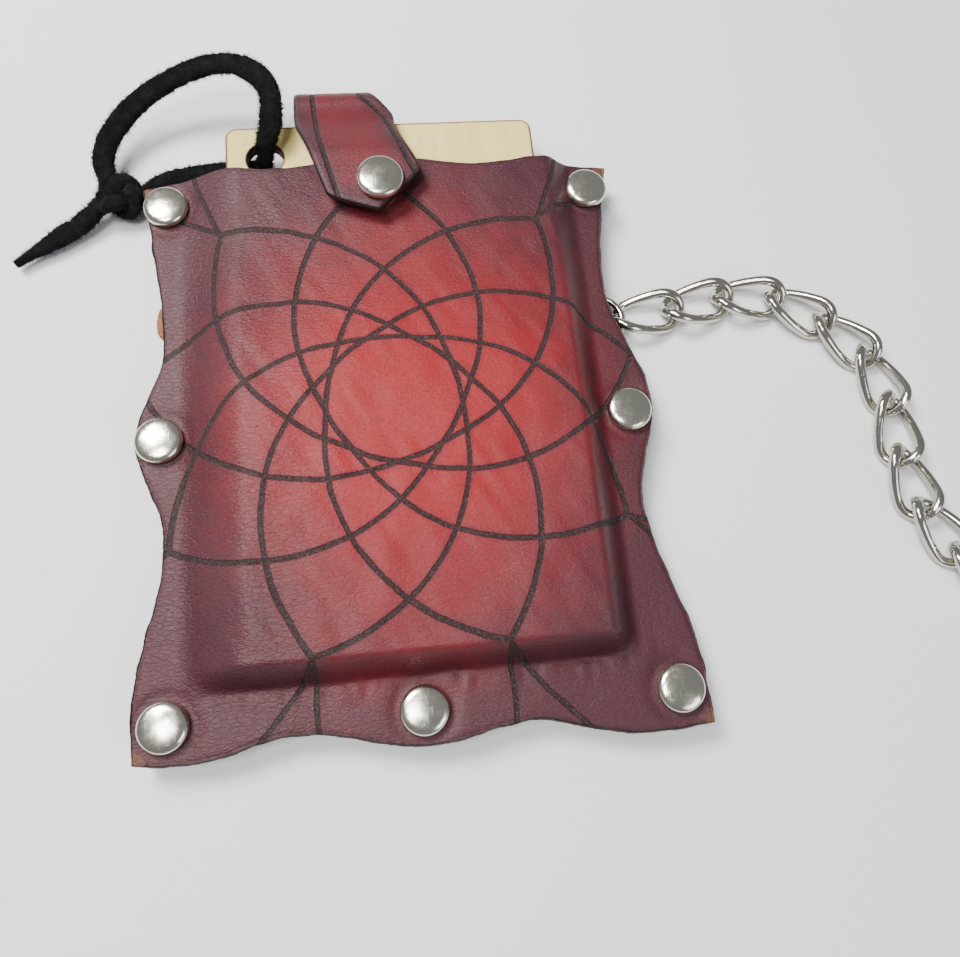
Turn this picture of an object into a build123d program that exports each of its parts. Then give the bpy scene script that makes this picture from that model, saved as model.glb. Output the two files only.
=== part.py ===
"""A riveted leather case that lies on its back and holds a thin plywood paddle.

The frame has +X to the right of the front face, +Y towards the mouth and +Z out of the front face.
The origin is the middle of the belt strap's flat outer face, which the case rests on.
All sizes are in millimetres.
"""
from build123d import *
import os
from math import asin, cos, degrees, pi, radians, sin, tan

# ---------------------------------------------------------------- leather case
RIVET_SPAN_X = 101.6      # between the left and the right column of rivets
RIVET_SPAN_Y = 118.0      # between the top and the bottom row of rivets
STRAP_ABOVE_MID = 29.5    # the belt strap crosses the back this far above the rivets' middle
LEATHER = 2.0             # both panels and the closure strap
EDGE_MARGIN = 6.3         # from the corner rivets out to the cut edge
BULGE_LEFT = 47.3         # from the middle to the foot of the soft left wall
BULGE_RIGHT = 46.3        # from the middle to the foot of the right wall
BULGE_FOOT = 52.6         # from the middle down to the crease of the bottom wall
BULGE_HEIGHT = 8.2        # of the moulded front above its own flange
MOUTH_HEIGHT = 4.8        # of the front above its flange where it meets the mouth
LEFT_WALL_RUN = 12.5      # plan width that the soft left wall takes
RIGHT_WALL_RUN = 7.5
FOOT_WALL_RUN = 5.6
FADE_START = 2.0          # the front starts to sink towards the mouth here
FADE_END = 50.0           # and is level from here to the mouth

# ---------------------------------------------------------------- belt strap and its ring
BELT_LEATHER = 1.4
BELT_WIDTH = 9.6
BELT_LEFT_END = 53.9      # from the middle out to the rounded left end
BELT_LEAN = -3.0          # degrees, the right end hangs a little lower
RING_WIRE = 1.6
RING_PLAY = 0.1           # between the ring's bar and the leather folded round it
RING_BAR_X = 45.5
RING_REACH = 9.7          # from the bar to the far end of the ring
RING_HALF = 6.2           # half the ring's width, wire centre to wire centre
RING_BEND = 1.4           # at the two ends of the ring's bar
BELT_STEP_START = -38.0   # the left end steps down to the rest face from here
BELT_STEP_RUN = 7.0
BELT_TUCK = 17.0          # length of the folded layer, back from the bar
BELT_RIVET_INSET = 9.0    # from each end of the strap's contact with the panel

# ---------------------------------------------------------------- rivets and snap
CAP_RADIUS = 5.1
CAP_HEIGHT = 2.6
FLANGE_RADIUS = 4.3
FLANGE = 0.8
POST_RADIUS = 1.2
TUBE_RADIUS = 1.7
POST_PLAY = 0.03          # between a post and its tube
HOLE_PLAY = 0.05          # between a tube and the leather
SNAP_CAP_RADIUS = 5.4
SNAP_X = -0.5
SNAP_Y = 57.6
SNAP_GAP = 3.0            # between the panel and the closed flap
STUD_RADIUS = 2.2
SOCKET_RADIUS = 4.4
SOCKET_PLAY = 0.4
SEAT_PLAY = 0.05          # under what sits on the moulded front, which is never quite flat

# ---------------------------------------------------------------- closure strap
NECK_LEFT = -19.5
NECK_RIGHT = -2.5
ANCHOR_START = 40.0
FOLD_Y = 83.0             # middle of the bend over the paddle's end
FOLD_SPLIT = -20.0        # degrees, where the flap starts to flex
FLAP_GAP = 0.05

# ---------------------------------------------------------------- paddle
PADDLE_WIDTH = 74.0
PADDLE_LENGTH = 127.0
PADDLE_THICK = 3.2
PADDLE_CORNER = 2.75
PADDLE_TOP = 79.3         # end of the paddle above the rivets' middle
PADDLE_X = 0.5
PADDLE_LIFT = 0.25        # above the back panel
LACE_HOLE_RADIUS = 4.3
LACE_HOLE_X = -27.3
LACE_HOLE_INSET = 8.8     # from the paddle's end
LACE_TUBE = 4.2

# ---------------------------------------------------------------- chain
LINK_WIRE = 2.3
LINK_LENGTH = 19.5
LINK_WIDTH = 11.0
LINK_TWIST = 48.0         # degrees at each end
LINK_PITCH = 13.2
LINK_HEADINGS = [7, 10, -4, -32, -46, -75, -93, -82, -60, -48, -42, -38, -36]
CHAIN_START_X = 54.8
CHAIN_START_Y = 27.0
EYE_RADIUS = 4.4
EYE_WIRE = 2.2
STEM_RADIUS = 1.3
STEM_PLAY = 0.1
CLASP_RADIUS = 3.6
HOOK_WIRE = 3.0
HOOK_LENGTH = 24.0
HOOK_HALF = 4.6
GATE_PLAY = 0.35

# ---------------------------------------------------------------- levels
BELT_FOLD = BELT_LEATHER + RING_WIRE / 2 + RING_PLAY
BACK_LOW = 2 * BELT_FOLD
BACK_TOP = BACK_LOW + LEATHER
FRONT_TOP = BACK_TOP + LEATHER
MOUTH_TOP = FRONT_TOP + MOUTH_HEIGHT
FLAP_LOW = MOUTH_TOP + SNAP_GAP
PADDLE_LOW = BACK_TOP + PADDLE_LIFT
MID_Y = -STRAP_ABOVE_MID
CHAIN_Z = 3.35
CLASP_Z = 4.3

HALF_X = RIVET_SPAN_X / 2
HALF_Y = RIVET_SPAN_Y / 2

# The holes were punched by hand, so each rivet sits a little off the true rectangle.
RIVET_PLACES = [
    (-HALF_X + 0.4, HALF_Y - 0.1),
    (HALF_X - 1.6, HALF_Y + 0.2),
    (-HALF_X - 1.0, 1.8),
    (HALF_X + 0.7, 1.6),
    (-HALF_X, -HALF_Y + 1.8),
    (0.2, -HALF_Y),
    (HALF_X + 2.4, -HALF_Y - 0.9),
]


def placed(shape):
    """Move a shape from the rivets' middle to the frame's origin."""
    return Pos(0, MID_Y, 0) * shape


def smooth(value):
    """Rise from 0 to 1 with level ends."""
    value = min(max(value, 0.0), 1.0)
    return value * value * (3 - 2 * value)


def case_outline():
    """The scalloped edge that both panels are cut to."""
    left = -HALF_X - EDGE_MARGIN
    right = HALF_X + EDGE_MARGIN
    top = HALF_Y + EDGE_MARGIN
    low = -HALF_Y - EDGE_MARGIN
    corners = [(left + 1.2, top - 0.7), (right - 2.2, top + 0.2), (right + 2.6, low - 2.0), (left, low + 1.5)]
    top_edge = Spline(corners[0], (-37.0, top + 1.3), (-25.0, top), (-13.0, top + 1.6),
                      (9.0, top + 1.5), (25.5, top - 0.3), (37.0, top + 1.2), corners[1])
    right_edge = Spline(corners[1], (HALF_X - 0.2, 40.0), (HALF_X, 29.0), (HALF_X + 6.5, 2.5),
                        (HALF_X + 1.2, -16.0), (HALF_X + 2.2, -29.0), (right + 1.7, -52.0), corners[2])
    low_edge = Spline(corners[2], (38.5, low - 1.6), (23.0, low + 2.2), (0.6, low - 0.7),
                      (-20.0, low + 3.6), (-30.0, low + 3.8), (-42.5, low + 1.0), corners[3])
    left_edge = Spline(corners[3], (left + 0.1, -51.0), (-HALF_X - 0.7, -27.0), (-HALF_X - 0.6, -16.0),
                       (-HALF_X - 6.3, 3.0), (-HALF_X - 0.8, 20.0), (-HALF_X - 0.8, 34.0), corners[0])
    return make_face(top_edge + right_edge + low_edge + left_edge)


def bulge(x, y, inset):
    """Height of the moulded front above the flange, with its walls moved in by an inset."""
    wall = smooth((x + BULGE_LEFT - inset) / LEFT_WALL_RUN)
    wall *= smooth((BULGE_RIGHT - inset - x) / RIGHT_WALL_RUN)
    wall *= smooth((y + BULGE_FOOT - inset) / FOOT_WALL_RUN)
    sink = smooth((y - FADE_START) / (FADE_END - FADE_START))
    return wall * (BULGE_HEIGHT + (MOUTH_HEIGHT - BULGE_HEIGHT) * sink)


def moulded_face(level, inset, drop):
    """A smooth face at the moulded height; drop sinks its flat rim below the level."""
    reach_x = HALF_X + 16
    reach_y = HALF_Y + 16
    across = 54
    along = 84
    rows = []
    for column in range(across + 1):
        x = -reach_x + 2 * reach_x * column / across
        row = []
        for place in range(along + 1):
            y = -reach_y + 2 * reach_y * place / along
            height = bulge(x, y, inset)
            rim = drop * (1 - min(height / MOUTH_HEIGHT, 1.0))
            row.append(Vector(x, y, level + height - rim))
        rows.append(row)
    return Face.make_surface_from_array_of_points(rows, tol=0.02, min_deg=3, max_deg=5)


def post_holes(places, low, high):
    """Round holes that let a rivet's tube through the leather."""
    return [Pos(x, y, (low + high) / 2) * Cylinder(TUBE_RADIUS + HOLE_PLAY, high - low) for x, y in places]


def front_panel():
    """The wet-moulded front: a flat flange and one raised pocket open at the mouth."""
    blank = Pos(0, 0, BACK_TOP) * extrude(case_outline(), BULGE_HEIGHT + LEATHER + 6)
    outer = split(blank, bisect_by=moulded_face(FRONT_TOP, 0, 0), keep=Keep.BOTTOM)
    inner = split(blank, bisect_by=moulded_face(BACK_TOP, 1.5, 0.7), keep=Keep.BOTTOM)
    shell = outer - inner
    shell -= post_holes(RIVET_PLACES, BACK_TOP - 1, FRONT_TOP + 1)
    shell -= post_holes([(SNAP_X, SNAP_Y)], BACK_TOP, MOUTH_TOP + 2)
    for x, y in RIVET_PLACES:  # the caps press the leather flat
        shell -= Pos(x, y, FRONT_TOP + CAP_HEIGHT) * Cylinder(CAP_RADIUS + HOLE_PLAY, 2 * CAP_HEIGHT)
    return shell


def belt_rivet_places():
    """Where the belt strap is riveted, in the frame of the rivets' middle."""
    left_x = -BELT_LEFT_END + BELT_RIVET_INSET
    right_x = RING_BAR_X - BELT_TUCK + BELT_RIVET_INSET - 3
    places = []
    for x in (left_x, right_x):
        places.append((x * cos(radians(BELT_LEAN)), x * sin(radians(BELT_LEAN)) - MID_Y))
    return places


def anchor_rivet_places():
    middle = (NECK_LEFT + NECK_RIGHT) / 2
    return [(middle, ANCHOR_START + 6), (middle, ANCHOR_START + 17)]


def back_panel():
    """The flat back, with sunk seats for the rivets whose flanges face the paddle."""
    panel = Pos(0, 0, BACK_LOW) * extrude(case_outline(), LEATHER)
    panel -= post_holes(RIVET_PLACES, BACK_LOW - 1, BACK_TOP + 1)
    strap_places = belt_rivet_places() + anchor_rivet_places()
    panel -= post_holes(strap_places, BACK_LOW - 1, BACK_TOP + 1)
    for x, y in strap_places:
        panel -= Pos(x, y, BACK_TOP - FLANGE / 2) * Cylinder(FLANGE_RADIUS + HOLE_PLAY, FLANGE)
    return panel


def domed_cap(radius, height):
    """A nickel cap: short side, rounded shoulder and nearly flat crown, standing on z = 0."""
    side = 0.7
    crown = Spline((0, height), (radius * 0.62, height * 0.9), (radius, side), tangents=[(1, 0), (0, -1)])
    rim = Polyline((radius, side), (radius * 0.94, 0), (0, 0), (0, height))
    section = make_face(Plane.XZ * (crown + rim))
    return revolve(section, Axis.Z)


def cap_with_post(radius, height, post_length):
    """A domed cap whose post hangs below it."""
    return domed_cap(radius, height) + Pos(0, 0, -post_length / 2) * Cylinder(POST_RADIUS, post_length)


def flange_with_tube(tube_length):
    """A flat flange whose tube stands on it and takes the post, with its outer face on z = 0."""
    body = Pos(0, 0, FLANGE / 2) * Cylinder(FLANGE_RADIUS, FLANGE)
    body += Pos(0, 0, (FLANGE + tube_length) / 2) * Cylinder(TUBE_RADIUS, FLANGE + tube_length)
    bore = tube_length
    body -= Pos(0, 0, FLANGE + tube_length - bore / 2) * Cylinder(POST_RADIUS + POST_PLAY, bore)
    return body


def case_rivet_caps():
    stack = 2 * LEATHER
    cap = cap_with_post(CAP_RADIUS, CAP_HEIGHT, stack - 0.1)
    return Compound([Pos(x, y, FRONT_TOP + SEAT_PLAY) * cap for x, y in RIVET_PLACES])


def case_rivet_backs():
    back = flange_with_tube(2 * LEATHER)
    return Compound([Pos(x, y, BACK_LOW - FLANGE) * back for x, y in RIVET_PLACES])


def strap_rivets(places, strap_leather):
    """Flat rivets that hold a strap to the back panel: outer heads with posts, inner flanges with tubes."""
    stack = strap_leather + LEATHER - FLANGE
    head = Pos(0, 0, -FLANGE / 2) * Cylinder(FLANGE_RADIUS, FLANGE)
    head += Pos(0, 0, (stack - 0.1) / 2) * Cylinder(POST_RADIUS, stack - 0.1)
    inner = Rot(180, 0, 0) * flange_with_tube(stack)
    heads = [Pos(x, y, BACK_LOW - strap_leather) * head for x, y in places]
    inners = [Pos(x, y, BACK_TOP) * inner for x, y in places]
    return Compound(heads), Compound(inners)


def belt_strap():
    """The strap across the back: riveted at the left, flat along the rest face, folded round the ring."""
    high = BACK_LOW - BELT_LEATHER / 2
    low = BELT_LEATHER / 2
    step_end = BELT_STEP_START + BELT_STEP_RUN
    left = Line((-BELT_LEFT_END, high), (BELT_STEP_START, high))
    step = Spline((BELT_STEP_START, high), (step_end, low), tangents=[(1, 0), (1, 0)])
    flat = Line((step_end, low), (RING_BAR_X, low))
    fold = CenterArc((RING_BAR_X, BELT_FOLD), BELT_FOLD - low, -90, 180)
    tuck = Line((RING_BAR_X, high), (RING_BAR_X - BELT_TUCK, high))
    section = Plane.XZ * trace(left + step + flat + fold + tuck, BELT_LEATHER)
    strap = extrude(section, BELT_WIDTH / 2, both=True)
    blank = Pos((RING_BAR_X - BELT_LEFT_END) / 2 + 3, 0, 0) * RectangleRounded(
        RING_BAR_X + BELT_LEFT_END + 6, BELT_WIDTH, BELT_WIDTH * 0.46)
    strap &= Pos(0, 0, -1) * extrude(blank + Pos(RING_BAR_X, 0) * Rectangle(20, BELT_WIDTH), BACK_LOW + 2)
    strap = Pos(0, -MID_Y, 0) * Rot(0, 0, BELT_LEAN) * strap
    strap -= post_holes(belt_rivet_places(), BACK_LOW - BELT_LEATHER - 0.3, BACK_LOW + 1)
    return strap


def belt_ring():
    """The D ring: a bar held in the strap's fold and a round end that takes the chain."""
    straight = RING_REACH - RING_HALF
    bend = RING_BEND
    path = Line((0, 0), (0, RING_HALF - bend))
    path += CenterArc((bend, RING_HALF - bend), bend, 180, -90)
    path += Line((bend, RING_HALF), (straight, RING_HALF))
    path += CenterArc((straight, 0), RING_HALF, 90, -180)
    path += Line((straight, -RING_HALF), (bend, -RING_HALF))
    path += CenterArc((bend, -RING_HALF + bend), bend, 270, -90)
    path += Line((0, -RING_HALF + bend), (0, 0))
    ring = sweep(Plane.XZ * Circle(RING_WIRE / 2), path=Wire(path.edges()))
    tilt = degrees(asin((CHAIN_Z - BELT_FOLD) / RING_REACH))
    ring = Pos(RING_BAR_X, 0, BELT_FOLD) * Rot(0, -tilt, 0) * ring
    return Pos(0, -MID_Y, 0) * Rot(0, 0, BELT_LEAN) * ring


def fold_path():
    """Side view of the closure strap: Y and Z of its mid line, from the anchor to the flap's tip."""
    low = BACK_LOW - LEATHER / 2
    high = FLAP_LOW + LEATHER / 2
    radius = 4.5
    middle = low + radius
    return low, high, radius, middle


def closure_outline():
    """Plan of the flap: a blunt point, a broad end that leans right and a narrower neck."""
    tip = SNAP_Y - 7.0
    points = [(SNAP_X - 11.6, tip + 4.0), (SNAP_X - 0.3, tip), (SNAP_X + 9.5, tip + 9.8),
              (3.6, FOLD_Y - 3.3), (NECK_RIGHT, FOLD_Y + 4.0), (NECK_RIGHT, FOLD_Y + 20),
              (NECK_LEFT, FOLD_Y + 20), (NECK_LEFT, FOLD_Y + 4.0)]
    return make_face(Polyline(points, close=True))


def closure_rear():
    """The strap's fixed part: riveted behind the case, then bending up at the paddle's end."""
    low, _, radius, middle = fold_path()
    path = Line((ANCHOR_START, low), (FOLD_Y, low))
    path += CenterArc((FOLD_Y, middle), radius, -90, 90 + FOLD_SPLIT)
    section = Plane.YZ * trace(path, LEATHER)
    centre = (NECK_LEFT + NECK_RIGHT) / 2
    strap = Pos(centre, 0, 0) * extrude(section, (NECK_RIGHT - NECK_LEFT) / 2, both=True)
    strap -= post_holes(anchor_rivet_places(), BACK_LOW - LEATHER - 1, BACK_LOW + 1)
    return strap


def closure_flap():
    """The strap's free part: over the paddle's end and down to the snap."""
    low, high, radius, middle = fold_path()
    start = FOLD_SPLIT + degrees(FLAP_GAP / radius)
    crest = (FOLD_Y - 1.0, middle + radius)
    level = (SNAP_Y + 7.0, high)
    arc = CenterArc((FOLD_Y, middle), radius, start, 90 - start)
    run = Line((FOLD_Y, middle + radius), crest)
    rise = Spline(crest, level, tangents=[(-1, 0), (-1, 0)])
    end = Line(level, (SNAP_Y - 12, high))
    section = Plane.YZ * trace(arc + run + rise + end, LEATHER)
    flap = extrude(section, 40, both=True)
    flap &= extrude(closure_outline(), 60)
    flap -= post_holes([(SNAP_X, SNAP_Y)], FLAP_LOW - 1, FLAP_LOW + LEATHER + 1)
    return flap


def snap_cap():
    cap = cap_with_post(SNAP_CAP_RADIUS, CAP_HEIGHT, LEATHER - 0.1)
    return Pos(SNAP_X, SNAP_Y, FLAP_LOW + LEATHER) * cap


def snap_socket():
    """The ring under the flap that clips over the stud; its tube holds the cap's post."""
    depth = SNAP_GAP - FLANGE - 0.2
    body = Pos(0, 0, -depth / 2) * Cylinder(SOCKET_RADIUS, depth)
    body -= Pos(0, 0, -depth / 2 - FLANGE / 2) * Cylinder(STUD_RADIUS + SOCKET_PLAY, depth - FLANGE)
    body += Pos(0, 0, LEATHER / 2) * Cylinder(TUBE_RADIUS, LEATHER)
    body -= Pos(0, 0, LEATHER / 2) * Cylinder(POST_RADIUS + POST_PLAY, LEATHER)
    return Pos(SNAP_X, SNAP_Y, FLAP_LOW) * body


def snap_stud():
    """The button on the front panel, with the tube that its eyelet rolls into."""
    height = SNAP_GAP - FLANGE - SOCKET_PLAY
    body = Pos(0, 0, FLANGE / 2) * Cylinder(SOCKET_RADIUS, FLANGE)
    body += Pos(0, 0, height / 2) * Cylinder(STUD_RADIUS, height)
    body += Pos(0, 0, -LEATHER / 2) * Cylinder(TUBE_RADIUS, LEATHER)
    body -= Pos(0, 0, -LEATHER / 2) * Cylinder(POST_RADIUS + POST_PLAY, LEATHER)
    return Pos(SNAP_X, SNAP_Y, MOUTH_TOP + SEAT_PLAY) * body


def snap_eyelet():
    """The flanged post inside the pocket that holds the stud on."""
    body = Pos(0, 0, -FLANGE / 2) * Cylinder(FLANGE_RADIUS, FLANGE)
    body += Pos(0, 0, (LEATHER - 0.1) / 2) * Cylinder(POST_RADIUS, LEATHER - 0.1)
    return Pos(SNAP_X, SNAP_Y, MOUTH_TOP - LEATHER - SEAT_PLAY) * body


def paddle():
    """A thin plywood board with rounded corners and one hole for the lace."""
    board = extrude(RectangleRounded(PADDLE_WIDTH, PADDLE_LENGTH, PADDLE_CORNER), PADDLE_THICK)
    board = Pos(PADDLE_X, PADDLE_TOP - PADDLE_LENGTH / 2, PADDLE_LOW) * board
    hole_y = PADDLE_TOP - LACE_HOLE_INSET
    board -= Pos(LACE_HOLE_X, hole_y, PADDLE_LOW) * Cylinder(LACE_HOLE_RADIUS, 4 * PADDLE_THICK)
    return board


# The lace's route, from its free tip over the knot, round the loop and through the hole to the knot.
LACE_ROUTE = [
    (-86.5, 50.0, 2.5),
    (-78.5, 55.6, 2.4),
    (-70.5, 60.2, 3.2),
    (-64.0, 66.5, 5.6),
    (-67.0, 77.0, 6.0),
    (-59.5, 87.5, 8.5),
    (-47.0, 93.2, 12.5),
    (-34.0, 93.6, 16.5),
    (-24.6, 86.0, 18.0),
    (-24.2, 76.5, 16.5),
    (-27.3, 70.6, 12.4),
    (-27.6, 70.9, 5.2),
    (-36.0, 73.0, 3.0),
    (-46.0, 72.4, 2.6),
    (-55.0, 70.0, 2.8),
    (-60.5, 63.5, 3.6),
]
KNOT_CENTRE = (-62.0, 65.4, 4.3)
KNOT_LENGTH = 13.0
KNOT_WIDTH = 8.0
KNOT_LEAN = 50.0


def corner_radii(points, print_them):
    """The radius of each corner: 0.45 of the shorter run over the tangent of half the turn."""
    radii = []
    spots = [Vector(*point) for point in points]
    for before, corner, after in zip(spots, spots[1:], spots[2:]):
        run_in = corner - before
        run_out = after - corner
        turn = run_in.get_angle(run_out)
        shorter = min(run_in.length, run_out.length)
        radii.append(0.45 * shorter / tan(radians(turn) / 2))
    if print_them:
        print("lace radii:", [round(radius, 1) for radius in radii])
    return radii


def lace():
    """The suede lace: a plain tube along its route up to the knot, and the knot as one rounded lump."""
    path = FilletPolyline(*LACE_ROUTE, radius=corner_radii(LACE_ROUTE, True))
    start = Plane(origin=path @ 0, z_dir=path % 0)
    tube = sweep(start * Circle(LACE_TUBE / 2), path=path)
    expected = pi * (LACE_TUBE / 2) ** 2 * path.length
    print("lace tube: length", round(path.length, 1), "volume over section x length", round(tube.volume / expected, 4))
    oval = Ellipse(KNOT_LENGTH / 2, KNOT_WIDTH / 2) & Pos(0, KNOT_WIDTH / 2) * Rectangle(KNOT_LENGTH, KNOT_WIDTH)
    knot = Pos(*KNOT_CENTRE) * Rot(0, 0, KNOT_LEAN) * revolve(oval, Axis.X)
    runs = (tube - knot).solids().filter_by(lambda run: run.volume > LACE_TUBE ** 3)
    return Compound(list(runs)), knot


def twisted_link():
    """One curb link: a long oval of round wire, twisted along its length about its own middle."""
    half_length = (LINK_LENGTH - LINK_WIRE) / 2
    half_width = (LINK_WIDTH - LINK_WIRE) / 2
    straight = half_length - half_width
    side = [(0.0, half_width), (straight * 0.5, half_width), (straight, half_width)]
    bend = [(straight + half_width * sin(radians(a)), half_width * cos(radians(a))) for a in (30, 60, 90)]
    quarter = side + bend
    half = quarter + [(x, -y) for x, y in reversed(quarter[:-1])]
    points = []
    for x, y in half:
        roll = radians(LINK_TWIST) * x / half_length
        points.append((x, y * cos(roll), y * sin(roll)))
    slope = half_width * radians(LINK_TWIST) / half_length
    path = Spline(*points, tangents=[(1, 0, slope), (-1, 0, slope)])
    start = Plane(origin=path @ 0, z_dir=path % 0)
    right = sweep(start * Circle(LINK_WIRE / 2), path=path)
    return right + Rot(0, 0, 180) * right


def chain_joints():
    """Each joint of the chain in plan, and the heading that the next link takes from it."""
    x = CHAIN_START_X
    y = CHAIN_START_Y
    joints = []
    for heading in LINK_HEADINGS:
        joints.append((x, y, heading))
        x += LINK_PITCH * cos(radians(heading))
        y += LINK_PITCH * sin(radians(heading))
    joints.append((x, y, LINK_HEADINGS[-1]))
    return joints


def clasp_place(shape):
    """Set a clasp piece, drawn along +X from the chain's last joint, in its place."""
    x, y, heading = chain_joints()[-1]
    return Pos(x, y, 0) * Rot(0, 0, heading) * shape


def clasp_swivel():
    """The eye that takes the last link, with the headed stem that turns in the clasp's body."""
    eye = Pos(EYE_RADIUS - 2.0, 0, 0) * Rot(-45, 0, 0) * Torus(EYE_RADIUS, EYE_WIRE / 2)
    start = 2 * EYE_RADIUS - 2.0
    stem = Pos(start + 3.3, 0, 0) * Rot(0, 90, 0) * Cylinder(STEM_RADIUS, 6.6)
    head = Pos(start + 6.6, 0, 0) * Rot(0, 90, 0) * Cylinder(STEM_RADIUS + 0.9, 1.4)
    return clasp_place(Pos(0, 0, CLASP_Z) * (eye + stem + head))


def clasp_body():
    """The clasp: a barrel that turns on the stem and a hook with an open mouth."""
    start = 2 * EYE_RADIUS - 2.0 + EYE_WIRE / 2 + 0.5
    length = 9.5
    barrel = Pos(start + length / 2, 0, 0) * Rot(0, 90, 0) * Cylinder(CLASP_RADIUS, length)
    neck = Pos(start + 2, 0, 0) * Rot(0, 90, 0) * Cylinder(STEM_RADIUS + STEM_PLAY, 6)
    chamber = Pos(2 * EYE_RADIUS + 4.6, 0, 0) * Rot(0, 90, 0) * Cylinder(STEM_RADIUS + 0.9 + STEM_PLAY, 1.8)
    end = start + length
    path = Line((end - 1.0, HOOK_HALF - 2.6), (end + 2.0, HOOK_HALF - 0.6))
    path += Line((end + 2.0, HOOK_HALF - 0.6), (end + HOOK_LENGTH - 8, HOOK_HALF - 0.6))
    path += CenterArc((end + HOOK_LENGTH - 8, 0), HOOK_HALF - 0.6, 90, -180)
    hook = sweep(Plane(origin=path @ 0, z_dir=path % 0) * Circle(HOOK_WIRE / 2), path=Wire(path.edges()),
                 transition=Transition.ROUND)
    tip = Pos(end + HOOK_LENGTH - 8, -HOOK_HALF + 0.6, 0) * Sphere(HOOK_WIRE / 2)
    lug = Pos(end + 0.2, -HOOK_HALF + 2.0, 0) * Box(3.0, 4.0, 3.4)
    body = barrel + hook + tip + lug
    body -= neck
    body -= chamber
    body -= Pos(end + 1.3, -HOOK_HALF + 1.6, 0) * Cylinder(0.7, 10)
    return clasp_place(Pos(0, 0, CLASP_Z) * body)


def clasp_gate():
    """The lever that closes the hook's mouth; its forked end straddles the lug on a pin."""
    start = 2 * EYE_RADIUS - 2.0 + EYE_WIRE / 2 + 0.5
    end = start + 9.5
    reach = HOOK_LENGTH - 8 - HOOK_WIRE / 2 - GATE_PLAY
    bar = Pos(end + (2.2 + reach) / 2, -HOOK_HALF + 1.4, 0) * Box(reach - 2.2, 1.8, 2.2)
    cheeks = Pos(end + 2.6, -HOOK_HALF + 1.6, 0) * Box(4.6, 1.8, 5.6)
    cheeks -= Pos(end + 0.4, -HOOK_HALF + 1.6, 0) * Box(4.2, 4.0, 3.4 + 2 * STEM_PLAY)
    pin = Pos(end + 1.3, -HOOK_HALF + 1.6, 0) * Cylinder(0.6, 5.6)
    return clasp_place(Pos(0, 0, CLASP_Z) * (bar + cheeks + pin))


def main():
    os.makedirs("parts", exist_ok=True)
    lace_runs, lace_knot = lace()
    belt_heads, belt_flanges = strap_rivets(belt_rivet_places(), BELT_LEATHER)
    anchor_heads, anchor_flanges = strap_rivets(anchor_rivet_places(), LEATHER)
    pieces = {
        "front_panel": front_panel(),
        "back_panel": back_panel(),
        "case_rivet_caps": case_rivet_caps(),
        "case_rivet_backs": case_rivet_backs(),
        "belt_strap": belt_strap(),
        "belt_rivet_heads": belt_heads,
        "belt_rivet_flanges": belt_flanges,
        "belt_ring": belt_ring(),
        "closure_rear": closure_rear(),
        "closure_rivet_heads": anchor_heads,
        "closure_rivet_flanges": anchor_flanges,
        "closure_flap": closure_flap(),
        "snap_cap": snap_cap(),
        "snap_socket": snap_socket(),
        "snap_stud": snap_stud(),
        "snap_eyelet": snap_eyelet(),
        "paddle_board": paddle(),
        "lace": lace_runs,
        "lace_knot": lace_knot,
        "clasp_swivel": clasp_swivel(),
        "clasp_body": clasp_body(),
        "clasp_gate": clasp_gate(),
    }
    link = twisted_link()
    for number, (x, y, heading) in enumerate(chain_joints()[:-1], start=1):
        middle = Pos(x, y, CHAIN_Z) * Rot(0, 0, heading) * Pos(LINK_PITCH / 2, 0, 0)
        pieces[f"chain_link_{number:02d}"] = middle * link
    for name, shape in pieces.items():
        export_step(placed(shape), f"parts/{name}.step")


if __name__ == "__main__":
    main()
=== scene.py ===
"""The finished look of a riveted leather case that holds a plywood paddle on a suede lace.

Sizes inside the classes are in millimetres and are measured from the middle of the case's rivets;
MID_Y and MM bring them into the frame's metres.
"""

import logging
import math
from dataclasses import dataclass, field
from enum import Enum

import bpy
import numpy as np
from mathutils import Euler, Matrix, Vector


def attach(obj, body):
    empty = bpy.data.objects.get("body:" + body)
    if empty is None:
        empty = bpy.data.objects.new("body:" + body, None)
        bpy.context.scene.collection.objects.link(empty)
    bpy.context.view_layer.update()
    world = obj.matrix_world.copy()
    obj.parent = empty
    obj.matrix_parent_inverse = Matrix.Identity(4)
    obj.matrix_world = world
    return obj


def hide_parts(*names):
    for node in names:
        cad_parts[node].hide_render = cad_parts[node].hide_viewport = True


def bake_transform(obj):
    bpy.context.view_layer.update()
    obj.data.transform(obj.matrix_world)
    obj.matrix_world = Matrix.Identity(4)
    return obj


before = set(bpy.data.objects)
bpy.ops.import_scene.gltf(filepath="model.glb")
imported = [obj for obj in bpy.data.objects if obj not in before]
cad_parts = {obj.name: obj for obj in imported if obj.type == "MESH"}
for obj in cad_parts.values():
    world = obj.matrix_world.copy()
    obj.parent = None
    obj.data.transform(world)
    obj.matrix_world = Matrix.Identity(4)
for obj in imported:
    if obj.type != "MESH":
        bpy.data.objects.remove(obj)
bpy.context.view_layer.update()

MM = 0.001
MID_Y = -29.5

log = logging.getLogger("case")
logging.basicConfig(level=logging.INFO, format="%(name)s: %(message)s")

Array = np.ndarray


# ------------------------------------------------------------------------------------ number helpers
def smooth(value: Array) -> Array:
    """Rise from 0 to 1 with level ends: 3t^2 - 2t^3 of the clamped value.

    Args:
        value: any array.

    Returns:
        The eased array.
    """
    t = np.clip(value, 0.0, 1.0)
    return t * t * (3 - 2 * t)


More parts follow.
